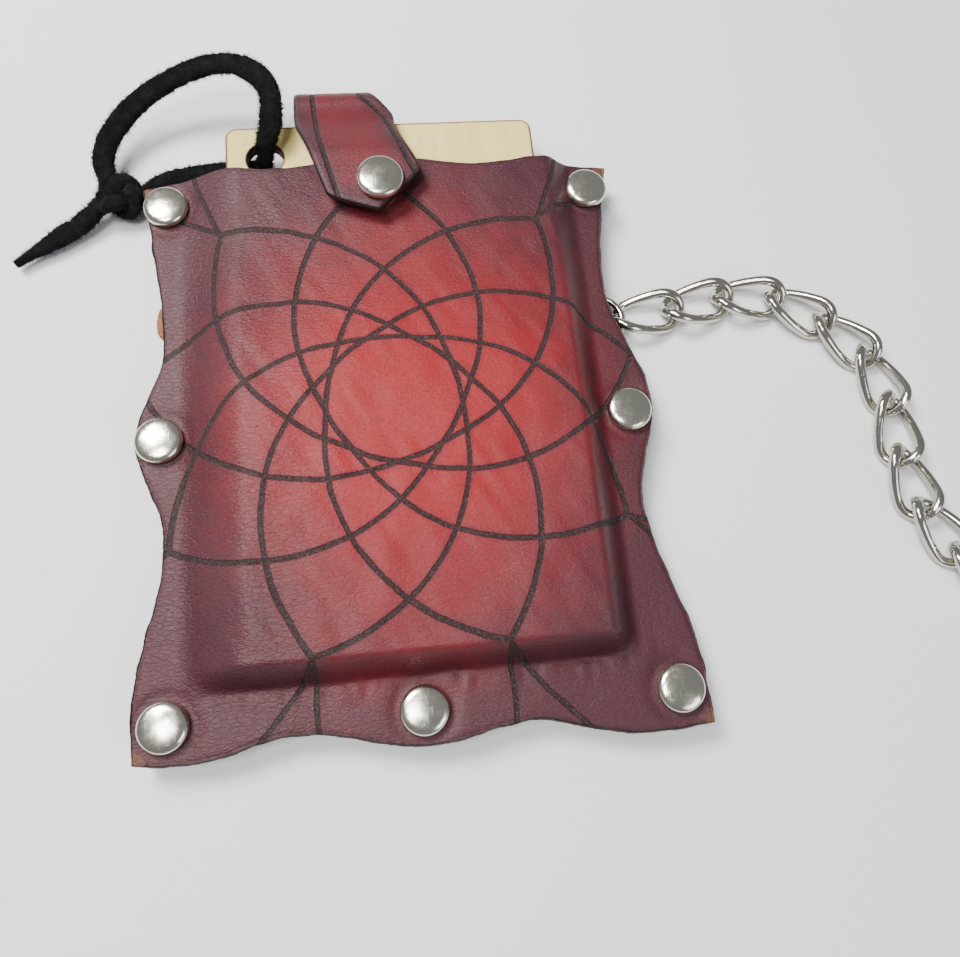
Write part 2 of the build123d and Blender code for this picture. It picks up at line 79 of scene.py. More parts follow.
def noise2(x: Array, y: Array, seed: int) -> Array:
    """Smooth value noise from -1 to 1: seeded lattice values, eased between their four neighbours.

    Args:
        x: first coordinate, one lattice cell per unit.
        y: second coordinate.
        seed: picks the lattice.

    Returns:
        Noise of the same shape as x.
    """
    lattice = np.random.default_rng(seed).uniform(-1, 1, (64, 64))
    xi = np.floor(x).astype(int)
    yi = np.floor(y).astype(int)
    fx = smooth(x - xi)
    fy = smooth(y - yi)
    a = lattice[xi % 64, yi % 64]
    b = lattice[(xi + 1) % 64, yi % 64]
    c = lattice[xi % 64, (yi + 1) % 64]
    d = lattice[(xi + 1) % 64, (yi + 1) % 64]
    return (a * (1 - fx) + b * fx) * (1 - fy) + (c * (1 - fx) + d * fx) * fy


def spline_through(points: list[tuple[float, float]], count: int) -> Array:
    """A natural cubic spline through plan points, sampled evenly by chord length.

    The second derivatives at the knots solve the usual tridiagonal system with zero at both ends.

    Args:
        points: plan points.
        count: samples wanted.

    Returns:
        Array of count by 2.
    """
    knots = np.array(points, float)
    place = travelled(knots)
    step = np.diff(place)
    size = len(knots)
    matrix = np.eye(size)
    right = np.zeros((size, 2))
    inner = np.arange(1, size - 1)
    matrix[inner, inner - 1] = step[:-1]
    matrix[inner, inner] = 2 * (step[:-1] + step[1:])
    matrix[inner, inner + 1] = step[1:]
    slope = np.diff(knots, axis=0) / step[:, None]
    right[1:-1] = 6 * np.diff(slope, axis=0)
    second = np.linalg.solve(matrix, right)
    at = np.linspace(0, place[-1], count)
    cell = np.clip(np.searchsorted(place, at, side="right") - 1, 0, size - 2)
    h = step[cell][:, None]
    left = (place[cell + 1] - at)[:, None]
    done = (at - place[cell])[:, None]
    curve = (second[cell] * left ** 3 + second[cell + 1] * done ** 3) / (6 * h)
    curve += (knots[cell] / h - second[cell] * h / 6) * left
    curve += (knots[cell + 1] / h - second[cell + 1] * h / 6) * done
    return curve


def to_frame(points: Array) -> Array:
    """Millimetres from the rivets' middle to metres in the frame."""
    moved = points + np.array([0.0, MID_Y, 0.0])
    return moved * MM


def unit(vectors: Array) -> Array:
    """Vectors scaled to length one."""
    return vectors / np.maximum(np.linalg.norm(vectors, axis=-1, keepdims=True), 1e-12)


def travelled(points: Array) -> Array:
    """Distance along a polyline to each of its points, the running sum of its steps, from 0."""
    return np.concatenate([[0.0], np.cumsum(np.linalg.norm(np.diff(points, axis=0), axis=1))])


def turned(degrees: float) -> Array:
    """The matrix that turns row vectors about Z by an angle, anticlockwise from above."""
    c, s = math.cos(math.radians(degrees)), math.sin(math.radians(degrees))
    return np.array([[c, s, 0], [-s, c, 0], [0, 0, 1]])


def flat_oval(turn: Array, square: float) -> tuple[Array, Array]:
    """A flat oval's unit ring: cosine and sine with their signs kept and their sizes raised to 2 / square.

    Args:
        turn: angles round the ring.
        square: 2 gives an ellipse, and more gives fuller corners.

    Returns:
        The broad and the thin coordinate, each from -1 to 1.
    """
    power = 2 / square
    across = np.sign(np.cos(turn)) * np.abs(np.cos(turn)) ** power
    lift = np.sign(np.sin(turn)) * np.abs(np.sin(turn)) ** power
    return across, lift


# ------------------------------------------------------------------------------------ mesh helpers
def make_object(name: str, points: Array, quads: Array) -> bpy.types.Object:
    """A smooth-shaded mesh object from frame points and quads.

    Args:
        name: the piece's name.
        points: N by 3, in millimetres from the rivets' middle.
        quads: M by 4 vertex numbers, facing outwards.

    Returns:
        The linked object, standing at the origin.
    """
    mesh = bpy.data.meshes.new(name)
    placed = to_frame(points).astype(np.float32)
    mesh.vertices.add(len(placed))
    mesh.vertices.foreach_set("co", placed.ravel())
    mesh.loops.add(quads.size)
    mesh.loops.foreach_set("vertex_index", quads.ravel().astype(np.int32))
    mesh.polygons.add(len(quads))
    width = quads.shape[1]
    mesh.polygons.foreach_set("loop_start", np.arange(0, quads.size, width, dtype=np.int32))
    mesh.polygons.foreach_set("loop_total", np.full(len(quads), width, dtype=np.int32))
    mesh.polygons.foreach_set("use_smooth", np.ones(len(quads), dtype=bool))
    mesh.update(calc_edges=True)
    mesh.validate()
    piece = bpy.data.objects.new(name, mesh)
    bpy.context.scene.collection.objects.link(piece)
    return piece


def add_attribute(piece: bpy.types.Object, name: str, values: Array) -> None:
    """Store one number per vertex on a piece's mesh."""
    layer = piece.data.attributes.new(name, "FLOAT", "POINT")
    layer.data.foreach_set("value", values.astype(np.float32).ravel())


def grid_quads(rows: int, columns: int, close_rows: bool, close_columns: bool) -> Array:
    """Quads of a rows by columns grid of vertices, closed round either way on request.

    Args:
        rows: vertex rows.
        columns: vertex columns.
        close_rows: join the last row to the first.
        close_columns: join the last column to the first.

    Returns:
        M by 4 vertex numbers.
    """
    i = np.arange(rows if close_rows else rows - 1)
    j = np.arange(columns if close_columns else columns - 1)
    ii, jj = np.meshgrid(i, j, indexing="ij")
    ni = (ii + 1) % rows
    nj = (jj + 1) % columns
    quads = np.stack([ii * columns + jj, ni * columns + jj, ni * columns + nj, ii * columns + nj], -1)
    return quads.reshape(-1, 4)


def tube_mesh(name: str, rings: Array, closed: bool) -> bpy.types.Object:
    """A tube from its rings of points; open ends are shut by a last ring drawn in to its middle.

    Args:
        name: the piece's name.
        rings: stations by ring points by 3.
        closed: the last ring joins the first.

    Returns:
        The object.
    """
    if not closed:
        first = np.repeat(rings[:1].mean(1, keepdims=True), rings.shape[1], 1)
        last = np.repeat(rings[-1:].mean(1, keepdims=True), rings.shape[1], 1)
        near_first = first + (rings[:1] - first) * 0.5
        near_last = last + (rings[-1:] - last) * 0.5
        rings = np.concatenate([first * 0.999 + near_first * 0.001, near_first, rings, near_last,
                                last * 0.999 + near_last * 0.001])
    stations, around = rings.shape[:2]
    quads = grid_quads(stations, around, closed, True)
    return make_object(name, rings.reshape(-1, 3), quads)


# ------------------------------------------------------------------------------------ shader maths
def add_node(tree: bpy.types.NodeTree, kind: str, settings: dict[str, str], sockets: dict) -> bpy.types.Node:
    """Any node but a Math node, with its settings made first and its sockets set or linked after.

    Args:
        tree: the material's nodes.
        kind: Blender's node type.
        settings: the node's own settings, by name.
        sockets: a tone, a link or a plain value for each input, by name or number.

    Returns:
        The node.
    """
    node = tree.nodes.new(kind)
    for name, setting in settings.items():
        setattr(node, name, setting)
    for place, value in sockets.items():
        source = value.socket if isinstance(value, Tone) else value
        if isinstance(source, bpy.types.NodeSocket):
            tree.links.new(source, node.inputs[place])
        else:
            node.inputs[place].default_value = source
    return node


class Tone:
    """A shader socket that can be added, multiplied and compared, each step making a Math node."""

    def __init__(self, tree: bpy.types.NodeTree, socket: bpy.types.NodeSocket) -> None:
        """Wrap a socket of a node tree."""
        self.tree = tree
        self.socket = socket

    def math(self, operation: str, *others: "Tone | float") -> "Tone":
        """One Math node on this value and the others.

        Args:
            operation: Blender's name of the operation.
            others: further inputs, tones or plain numbers.

        Returns:
            The result.
        """
        node = self.tree.nodes.new("ShaderNodeMath")
        node.operation = operation
        self.tree.links.new(self.socket, node.inputs[0])
        for place, other in enumerate(others, start=1):
            if isinstance(other, Tone):
                self.tree.links.new(other.socket, node.inputs[place])
            else:
                node.inputs[place].default_value = other
        return Tone(self.tree, node.outputs[0])

    def __add__(self, other: "Tone | float") -> "Tone":
        """Sum."""
        return self.math("ADD", other)

    def __radd__(self, other: float) -> "Tone":
        """Sum with the number first."""
        return self + other

    def __sub__(self, other: "Tone | float") -> "Tone":
        """Difference."""
        return self.math("SUBTRACT", other)

    def __rsub__(self, other: float) -> "Tone":
        """Difference with the number first."""
        return (self * -1.0) + other

    def __mul__(self, other: "Tone | float") -> "Tone":
        """Product."""
        return self.math("MULTIPLY", other)

    def __rmul__(self, other: float) -> "Tone":
        """Product with the number first."""
        return self * other

    def __truediv__(self, other: "Tone | float") -> "Tone":
        """Quotient."""
        return self.math("DIVIDE", other)

    def __pow__(self, other: "Tone | float") -> "Tone":
        """Power."""
        return self.math("POWER", other)

    def __abs__(self) -> "Tone":
        """Size without sign."""
        return self.math("ABSOLUTE")

    def least(self, other: "Tone | float") -> "Tone":
        """The smaller of two."""
        return self.math("MINIMUM", other)

    def most(self, other: "Tone | float") -> "Tone":
        """The larger of two."""
        return self.math("MAXIMUM", other)

    def ease(self, low: float, high: float) -> "Tone":
        """0 below low, 1 above high and smooth between; low above high turns it round.

        Args:
            low: where it is 0.
            high: where it is 1.

        Returns:
            The eased value.
        """
        first, last = (1.0, 0.0) if low > high else (0.0, 1.0)
        node = add_node(self.tree, "ShaderNodeMapRange", {"interpolation_type": "SMOOTHSTEP"}, {
            "Value": self, "From Min": min(low, high), "From Max": max(low, high), "To Min": first, "To Max": last})
        return Tone(self.tree, node.outputs["Result"])


Colour = tuple[float, float, float]


class Painter:
    """Builds one material: coordinates in millimetres, noises, colour mixing and bumps."""

    def __init__(self, name: str) -> None:
        """Start a material that has a Principled shader and coordinates in millimetres.

        Args:
            name: the material's name.
        """
        self.material = bpy.data.materials.new(name)
        self.material.use_nodes = True
        self.tree = self.material.node_tree
        self.shader = self.tree.nodes["Principled BSDF"]
        place = self.add("ShaderNodeTexCoord", {}, {}).outputs["Object"]
        scaled = self.add("ShaderNodeMapping", {}, {
            "Scale": (1 / MM, 1 / MM, 1 / MM), "Location": (0.0, -MID_Y, 0.0), "Vector": place})
        self.place = scaled.outputs["Vector"]
        parts = self.add("ShaderNodeSeparateXYZ", {}, {0: self.place})
        self.x, self.y, self.z = (Tone(self.tree, parts.outputs[i]) for i in range(3))
        self.last_bump: bpy.types.NodeSocket | None = None

    def add(self, kind: str, settings: dict[str, str], sockets: dict) -> bpy.types.Node:
        """A node in this material, as add_node makes it."""
        return add_node(self.tree, kind, settings, sockets)

    def attribute(self, name: str) -> Tone:
        """A number stored on the mesh."""
        return Tone(self.tree, self.add("ShaderNodeAttribute", {"attribute_name": name}, {}).outputs["Fac"])

    def stretched(self, scale: tuple[float, float, float], turn: float = 0.0) -> bpy.types.NodeSocket:
        """Millimetre coordinates turned about Z and scaled on each axis.

        Args:
            scale: factor on each axis, one over the wanted size in millimetres.
            turn: degrees.

        Returns:
            A vector socket.
        """
        return self.add("ShaderNodeMapping", {}, {
            "Scale": scale, "Rotation": (0.0, 0.0, math.radians(turn)), "Vector": self.place}).outputs["Vector"]

    def noise(self, size: float | tuple[float, float, float], detail: float = 3.0, rough: float = 0.55,
              turn: float = 0.0, warp: float = 0.0) -> Tone:
        """Perlin noise with features of a given size in millimetres, about 0 to 1.

        Args:
            size: feature size, or one for each axis.
            detail: octaves.
            rough: strength of the finer octaves.
            turn: degrees about Z.
            warp: distortion.

        Returns:
            The noise.
        """
        sizes = size if isinstance(size, tuple) else (size, size, size)
        node = self.add("ShaderNodeTexNoise", {}, {
            "Scale": 1.0, "Detail": detail, "Roughness": rough, "Distortion": warp,
            "Vector": self.stretched(tuple(1 / s for s in sizes), turn)})
        return Tone(self.tree, node.outputs["Fac"])

    def cells(self, size: float | tuple[float, float, float], feature: str = "F1", turn: float = 0.0) -> Tone:
        """Voronoi distance with cells of a given size in millimetres.

        Args:
            size: cell size, or one for each axis.
            feature: F1 or DISTANCE_TO_EDGE.
            turn: degrees about Z.

        Returns:
            The distance, in cells.
        """
        sizes = size if isinstance(size, tuple) else (size, size, size)
        node = self.add("ShaderNodeTexVoronoi", {"feature": feature}, {
            "Scale": 1.0, "Vector": self.stretched(tuple(1 / s for s in sizes), turn)})
        return Tone(self.tree, node.outputs["Distance"])

    def mix(self, amount: Tone, low: "Colour | bpy.types.NodeSocket",
            high: "Colour | bpy.types.NodeSocket") -> bpy.types.NodeSocket:
        """A colour between two others.

        Args:
            amount: 0 gives low and 1 gives high.
            low: colour or colour socket.
            high: colour or colour socket.

        Returns:
            The colour's socket.
        """
        below, above = ((*value, 1.0) if isinstance(value, tuple) else value for value in (low, high))
        node = self.add("ShaderNodeMix", {"data_type": "RGBA"}, {"Factor": amount, 6: below, 7: above})
        return node.outputs[2]

    def bump(self, height: Tone, depth: float, strength: float = 1.0) -> None:
        """Add a relief to the shader's normal.

        Args:
            height: the relief, about 0 to 1.
            depth: its depth in millimetres.
            strength: how much of it shows.
        """
        under = {} if self.last_bump is None else {"Normal": self.last_bump}
        node = self.add("ShaderNodeBump", {}, {
            "Strength": strength, "Distance": depth * MM, "Height": height, **under})
        self.last_bump = node.outputs["Normal"]

    def colour(self, value: "Colour | bpy.types.NodeSocket") -> None:
        """Set the base colour.

        Args:
            value: colour or colour socket.
        """
        socket = self.shader.inputs["Base Color"]
        if isinstance(value, tuple):
            socket.default_value = (*value, 1.0)
        else:
            self.tree.links.new(value, socket)

    def rough(self, value: Tone | float) -> None:
        """Set the roughness.

        Args:
            value: a tone or a plain number.
        """
        if isinstance(value, Tone):
            self.tree.links.new(value.socket, self.shader.inputs["Roughness"])
        else:
            self.shader.inputs["Roughness"].default_value = value

    def plain(self, **values: float) -> None:
        """Set further sockets to uniform values; underscores stand for spaces in their names.

        Args:
            values: number for each socket.
        """
        for name, value in values.items():
            self.shader.inputs[name.replace("_", " ")].default_value = value

    def done(self) -> bpy.types.Material:
        """Join the bumps to the shader.

        Returns:
            The finished material.
        """
        if self.last_bump is not None:
            self.tree.links.new(self.last_bump, self.shader.inputs["Normal"])
        return self.material


# ------------------------------------------------------------------------------------ finishes
class Leaf(Enum):
    """Which piece of dyed leather a finish is for."""

    FRONT = "front"
    STRAP = "strap"


@dataclass(frozen=True)
class DyedLeather:
    """Glossy oxblood leather: bright in the middle, near black at its edges, with burnt lines."""

    leaf: Leaf
    bright: Colour = (0.262, 0.006, 0.009)
    middle: Colour = (0.150, 0.008, 0.012)
    dark: Colour = (0.041, 0.011, 0.018)
    burnt: Colour = (0.006, 0.004, 0.004)
    cut_edge: Colour = (0.012, 0.006, 0.006)
    grain_tone: Colour = (0.055, 0.010, 0.013)
    ash_tone: Colour = (0.048, 0.032, 0.032)
    frayed: Colour = (0.20, 0.085, 0.038)
    shine_tint: Colour = (1.0, 0.72, 0.73)
    grain_turn: float = 24.0
    line_width: float = 1.10
    node_turn: float = 1.2
    node_radius: float = 57.0
    outward: float = 370.0
    arches: int = 9
    arch_middle: tuple[float, float] = (-1.1, 5.8)
    corners: tuple[tuple[float, float], ...] = ((-57.1, -63.8), (-55.9, 64.6), (59.7, -67.3), (54.9, 65.5))

    def arch_lines(self, painter: Painter) -> Tone:
        """The rosette: nine arches, each r = 14.2 + 29.1 t^2.6 / (0.9 + 0.1 t^4), t = angle / 100 degrees.

        Beyond the outer nodes at t = 1.2 each line turns outwards, r = 57 + 370 (t - 1.2).

        The gap between a point's radius and the arch's, divided by the slope's stretch, is its distance
        from the line; the least of the nine distances is kept.

        Args:
            painter: the material being made.

        Returns:
            Distance from the nearest line in millimetres.
        """
        wobble = painter.noise(9.0, 1.0) * 0.9 - 0.45
        dx = painter.x - self.arch_middle[0] + wobble
        dy = painter.y - self.arch_middle[1] + wobble
        radius = (dx * dx + dy * dy).math("SQRT").most(0.5)
        nearest: Tone | None = None
        for number in range(self.arches):
            heading = math.radians(90 + 360 / self.arches * number)
            across = (dx * math.cos(heading) + dy * math.sin(heading)) / radius
            turn = across.most(-0.99999).least(0.99999).math("ARCCOSINE") * (180 / math.pi / 100)
            bow = (turn ** 2.6) / ((turn ** 4.0) * 0.1 + 0.9) * 29.1 + 14.2
            spoke = (turn - self.node_turn) * self.outward + self.node_radius
            beyond = turn.ease(self.node_turn - 0.002, self.node_turn + 0.002)
            slope = ((turn ** 1.6) * 43.4 + beyond * 150.0) / radius
            stretch = (slope * slope + 1.0).math("SQRT")
            gap = abs(radius - bow.most(spoke)) / stretch
            nearest = gap if nearest is None else nearest.least(gap)
        return nearest + radius.ease(9.0, 7.0) * 9.0

    def line_distance(self, painter: Painter) -> Tone:
        """Distance from the nearest burnt line: the rosette, or a line along each edge of the strap.

        Args:
            painter: the material being made.

        Returns:
            Distance in millimetres.
        """
        if self.leaf is Leaf.FRONT:
            return self.arch_lines(painter)
        return painter.attribute("groove")

    def glow(self, painter: Painter) -> Tone:
        """How bright the dye is, 1 in the middle and 0 at the edges.

        Args:
            painter: the material being made.

        Returns:
            The brightness.
        """
        blotch = painter.noise(22.0, 3.0) * 0.50 - 0.25
        if self.leaf is Leaf.FRONT:
            dx = (painter.x - 3.0) / 55.0
            dy = (painter.y - 2.0) / 70.0
            reach = (dx * dx + dy * dy).math("SQRT")
            return (reach + blotch * 0.7).ease(1.15, 0.08)
        return (painter.attribute("edge") + blotch * 6.0).ease(-0.5, 6.5) * 0.34

    def make(self) -> bpy.types.Material:
        """The whole material.

        Returns:
            The material.
        """
        painter = Painter(f"dyed_leather_{self.leaf.value}")
        glow = self.glow(painter)
        rim = painter.attribute("rim")
        fine = painter.noise(0.8, 4.0, 0.7)
        cloud = painter.noise(6.0, 4.0, 0.6)
        tone = painter.mix((glow + (cloud - 0.5) * 0.35).ease(0.0, 0.62), self.dark, self.middle)
        tone = painter.mix((glow + (cloud - 0.5) * 0.30).ease(0.42, 1.02), tone, self.bright)
        tone = painter.mix(fine.ease(0.35, 0.75) * 0.30, tone, self.grain_tone)
        # pebbled grain, stronger towards the left and the edges
        pebbles = painter.cells((0.62, 0.48, 0.62), "F1", self.grain_turn)
        veins = painter.cells((1.9, 0.9, 1.9), "DISTANCE_TO_EDGE", self.grain_turn)
        creases = painter.noise((7.0, 0.9, 4.0), 4.0, 0.65, -14.0, 0.8)
        left = painter.x.ease(10.0, -45.0) if self.leaf is Leaf.FRONT else painter.x.ease(90.0, 100.0)
        worn = (left * 0.8 + (1.0 - glow) * 0.5).least(1.0)
        tone = painter.mix(veins.ease(0.10, 0.0) * worn * 0.16, tone, self.dark)
        distance = self.line_distance(painter)
        ragged = distance + (painter.noise(0.7, 2.0, 0.7) - 0.5) * 0.5
        line = ragged.ease(self.line_width / 2 + 0.10, self.line_width / 2 - 0.18)
        speck = painter.noise(0.38, 2.0, 0.8).ease(0.46, 0.66)
        ash = painter.mix(speck, self.burnt, self.ash_tone)
        tone = painter.mix(distance.ease(1.7, 0.5) * 0.35, tone, self.dark)
        tone = painter.mix(line * 0.97, tone, ash)
        trimmed = (painter.attribute("edge") + (painter.noise(1.1, 3.0) - 0.5) * 0.7).ease(0.75, 0.15)
        tone = painter.mix(trimmed * 0.8, tone, self.burnt)
        tone = painter.mix(rim, tone, self.cut_edge)
        if self.leaf is Leaf.FRONT:
            for corner_x, corner_y in self.corners:
                across, along = painter.x - corner_x, painter.y - corner_y
                gap = (across * across + along * along).math("SQRT") + (painter.noise(1.3, 4.0, 0.7) - 0.5) * 5.0
                frayed = painter.mix(fine, self.frayed, self.burnt)
                tone = painter.mix(gap.ease(3.4, 1.6) * 0.85, tone, frayed)
        painter.colour(tone)
        scuff = painter.noise((3.0, 14.0, 3.0), 5.0, 0.7, 35.0)
        gloss = (fine - 0.5) * 0.34 + (scuff - 0.5) * 0.26 + (cloud - 0.5) * 0.16 + 0.44
        painter.rough((gloss + line * 0.35 + rim * 0.4).most(0.2).least(0.95))
        painter.bump(creases, 0.26, 0.32)
        painter.bump(pebbles, 0.10, 0.38)
        painter.bump(veins.ease(0.0, 0.16) * worn + (1.0 - worn), 0.09, 0.60)
        painter.bump(painter.noise((0.9, 0.24, 0.5), 4.0, 0.75, self.grain_turn), 0.14, 0.7)
        painter.bump(1.0 - line, 0.28, 0.8)
        painter.plain(Coat_Weight=0.04, Coat_Roughness=0.30, Specular_IOR_Level=0.42)
        painter.shader.inputs["Specular Tint"].default_value = (*self.shine_tint, 1.0)
        return painter.done()


@dataclass(frozen=True)
class PlainLeather:
    """Undyed or flesh-side leather: matt, fibrous and blotched."""

    name: str
    pale: Colour
    deep: Colour
    rim_tone: Colour

    def make(self) -> bpy.types.Material:
        """The whole material.

        Returns:
            The material.
        """
        painter = Painter(self.name)
        rim = painter.attribute("rim")
        fibre = painter.noise((0.5, 0.5, 0.25), 5.0, 0.75, 0.0, 0.6)
        blotch = painter.noise(11.0, 4.0, 0.6)
        tone = painter.mix(blotch.ease(0.3, 0.7), self.deep, self.pale)
        tone = painter.mix(fibre.ease(0.35, 0.75) * 0.5, tone, self.deep)
        tone = painter.mix(rim * 0.85, tone, painter.mix(fibre.ease(0.4, 0.62), self.rim_tone, self.pale))
        painter.colour(tone)
        painter.rough(fibre * 0.2 + 0.68)
        painter.bump(fibre, 0.14, 0.6)
        painter.bump(painter.cells(0.9), 0.08, 0.4)
        painter.plain(Specular_IOR_Level=0.3)
        return painter.done()


@dataclass(frozen=True)
class Nickel:
    """Bright nickel plate with faint scuffs, dust and fine scratches."""

    name: str
    tint: Colour = (0.66, 0.62, 0.53)
    base_rough: float = 0.15
    scuff: float = 0.12
    haze_tone: Colour = (0.62, 0.58, 0.52)
    dust_tone: Colour = (0.35, 0.33, 0.31)

    def make(self) -> bpy.types.Material:
        """The whole material.

        Returns:
            The material.
        """
        painter = Painter(self.name)
        haze = painter.noise(2.6, 4.0, 0.65)
        scratch = painter.noise((0.25, 6.0, 0.25), 2.0, 0.5, 38.0).ease(0.62, 0.72)
        scratch = scratch + painter.noise((5.0, 0.22, 0.3), 2.0, 0.5, 14.0).ease(0.64, 0.74)
        dust = painter.noise(0.35, 2.0, 0.6).ease(0.66, 0.78)
        tone = painter.mix(haze.ease(0.35, 0.8) * 0.35, self.tint, self.haze_tone)
        tone = painter.mix(dust * 0.3, tone, self.dust_tone)
        painter.colour(tone)
        painter.rough(haze.ease(0.3, 0.8) * self.scuff + scratch * 0.10 + dust * 0.15 + self.base_rough)
        painter.bump(haze, 0.05, 0.12)
        painter.bump(scratch, 0.01, 0.3)
        painter.plain(Metallic=1.0)
        return painter.done()


@dataclass(frozen=True)
class BirchPly:
    """Pale rotary-cut birch: fine grain along Y, small flecks and laser-charred edges."""

    pale: Colour = (0.80, 0.64, 0.23)
    warm: Colour = (0.64, 0.47, 0.185)
    char: Colour = (0.030, 0.014, 0.007)
    pore_tone: Colour = (0.50, 0.38, 0.21)
    fleck_tone: Colour = (0.40, 0.27, 0.14)
    cloud_tone: Colour = (0.84, 0.73, 0.40)
    core_tone: Colour = (0.12, 0.060, 0.028)
    soot_tone: Colour = (0.24, 0.125, 0.055)
    core_level: float = 8.45

    def make(self) -> bpy.types.Material:
        """The whole material.

        Returns:
            The material.
        """
        painter = Painter("birch_ply")
        rim = painter.attribute("rim")
        figure = painter.noise((3.5, 46.0, 6.0), 4.0, 0.6, 2.0, 1.2)
        pores = painter.noise((0.22, 5.0, 0.6), 3.0, 0.7, 1.0)
        fleck = painter.noise((0.5, 2.6, 1.0), 2.0, 0.5, -3.0).ease(0.66, 0.74)
        tone = painter.mix(figure.ease(0.32, 0.72) * 0.6, self.pale, self.warm)
        tone = painter.mix(pores.ease(0.45, 0.75) * 0.38, tone, self.pore_tone)
        tone = painter.mix(fleck * 0.4, tone, self.fleck_tone)
        tone = painter.mix(painter.noise(14.0, 3.0).ease(0.55, 0.8) * 0.22, tone, self.cloud_tone)
        ply = abs(painter.z - self.core_level)
        core = painter.mix(ply.ease(0.42, 0.62), self.core_tone, self.char)
        soot = rim + (painter.noise(1.4, 3.0) - 0.5) * 0.25
        tone = painter.mix(soot.ease(0.25, 0.75), tone, self.soot_tone)
        tone = painter.mix(rim.ease(0.72, 0.95), tone, core)
        painter.colour(tone)
        painter.rough(pores * 0.15 + 0.55)
        painter.bump(pores, 0.05, 0.5)
        painter.bump(figure, 0.06, 0.2)
        painter.plain(Specular_IOR_Level=0.35)
        return painter.done()


@dataclass(frozen=True)
class Suede:
    """Black split suede: almost no shine, mottled nap."""

    nap: Colour = (0.0026, 0.0026, 0.0030)
    worn: Colour = (0.009, 0.009, 0.010)

    def make(self) -> bpy.types.Material:
        """The whole material.

        Returns:
            The material.
        """
        painter = Painter("black_suede")
        fuzz = painter.noise(0.35, 4.0, 0.8)
        patch = painter.noise(2.2, 3.0, 0.6)
        tone = painter.mix((patch * 0.6 + fuzz * 0.4).ease(0.42, 0.72), self.nap, self.worn)
        painter.colour(tone)
        painter.rough(1.0)
        painter.bump(fuzz, 0.35, 0.9)
        painter.bump(patch, 0.3, 0.5)
        painter.plain(Specular_IOR_Level=0.12, Sheen_Weight=0.02, Sheen_Roughness=0.6)
        return painter.done()


@dataclass(frozen=True)
class FloorPaper:
    """A plain pale sweep."""

    tone: Colour = (0.80, 0.81, 0.815)
    shade: Colour = (0.77, 0.78, 0.785)

    def make(self) -> bpy.types.Material:
        """The whole material.

        Returns:
            The material.
        """
        painter = Painter("floor_paper")
        painter.colour(painter.mix(painter.noise(160.0, 2.0).ease(0.3, 0.7) * 0.4, self.tone, self.shade))
        painter.rough(0.85)
        painter.bump(painter.noise(0.8, 3.0), 0.05, 0.3)
        painter.plain(Specular_IOR_Level=0.2)
        return painter.done()


@dataclass
class Finishes:
    """One material of each kind, made once."""

    front: bpy.types.Material = field(default_factory=lambda: DyedLeather(Leaf.FRONT).make())
    strap: bpy.types.Material = field(default_factory=lambda: DyedLeather(Leaf.STRAP).make())
    back: bpy.types.Material = field(default_factory=lambda: PlainLeather(
        "back_leather", (0.22, 0.090, 0.050), (0.10, 0.034, 0.020), (0.035, 0.013, 0.009)).make())
    tan: bpy.types.Material = field(default_factory=lambda: PlainLeather(
        "tan_leather", (0.33, 0.135, 0.060), (0.17, 0.062, 0.028), (0.12, 0.042, 0.02)).make())
    caps: bpy.types.Material = field(default_factory=lambda: Nickel("cap_nickel").make())
    wire: bpy.types.Material = field(default_factory=lambda: Nickel(
        "chain_nickel", (0.52, 0.495, 0.44), 0.09, 0.10).make())
    ply: bpy.types.Material = field(default_factory=lambda: BirchPly().make())
    suede: bpy.types.Material = field(default_factory=lambda: Suede().make())


def dress(piece: bpy.types.Object, material: bpy.types.Material) -> bpy.types.Object:
    """Give a piece its material, and a material slot when it has none.

    Args:
        piece: the object.
        material: its finish.

    Returns:
        The same object.
    """
    if piece.material_slots:
        for place in piece.material_slots:
            place.material = material
    else:
        piece.data.materials.append(material)
    log.info("%s wears %s", piece.name, material.name)
    return piece


# ------------------------------------------------------------------------------------ thick sheets
def outline_distance(points: Array, outline: Array, closed: bool = True) -> Array:
    """Distance from plan points to the nearest segment of an outline.

    Each point is projected on every segment, clamped to the segment's ends, and the least length is kept.

    Args:
        points: array ending in 2.
        outline: corners by 2, in order.
        closed: the last corner joins the first.

    Returns:
        Distances with the shape of points less its last axis.
    """
    start = outline if closed else outline[:-1]
    run = (np.roll(outline, -1, axis=0) if closed else outline[1:]) - start
    flat = points.reshape(-1, 1, 2)
    share = np.sum((flat - start) * run, -1) / np.maximum(np.sum(run * run, -1), 1e-9)
    nearest = start + np.clip(share, 0, 1)[..., None] * run
    return np.linalg.norm(flat - nearest, axis=-1).min(1).reshape(points.shape[:-1])


def border_loop(rows: int, columns: int) -> Array:
    """Vertex numbers once round the border of a rows by columns grid."""
    number = np.arange(rows * columns).reshape(rows, columns)
    return np.concatenate([number[0, :-1], number[:-1, -1], number[-1, :0:-1], number[:0:-1, 0]])


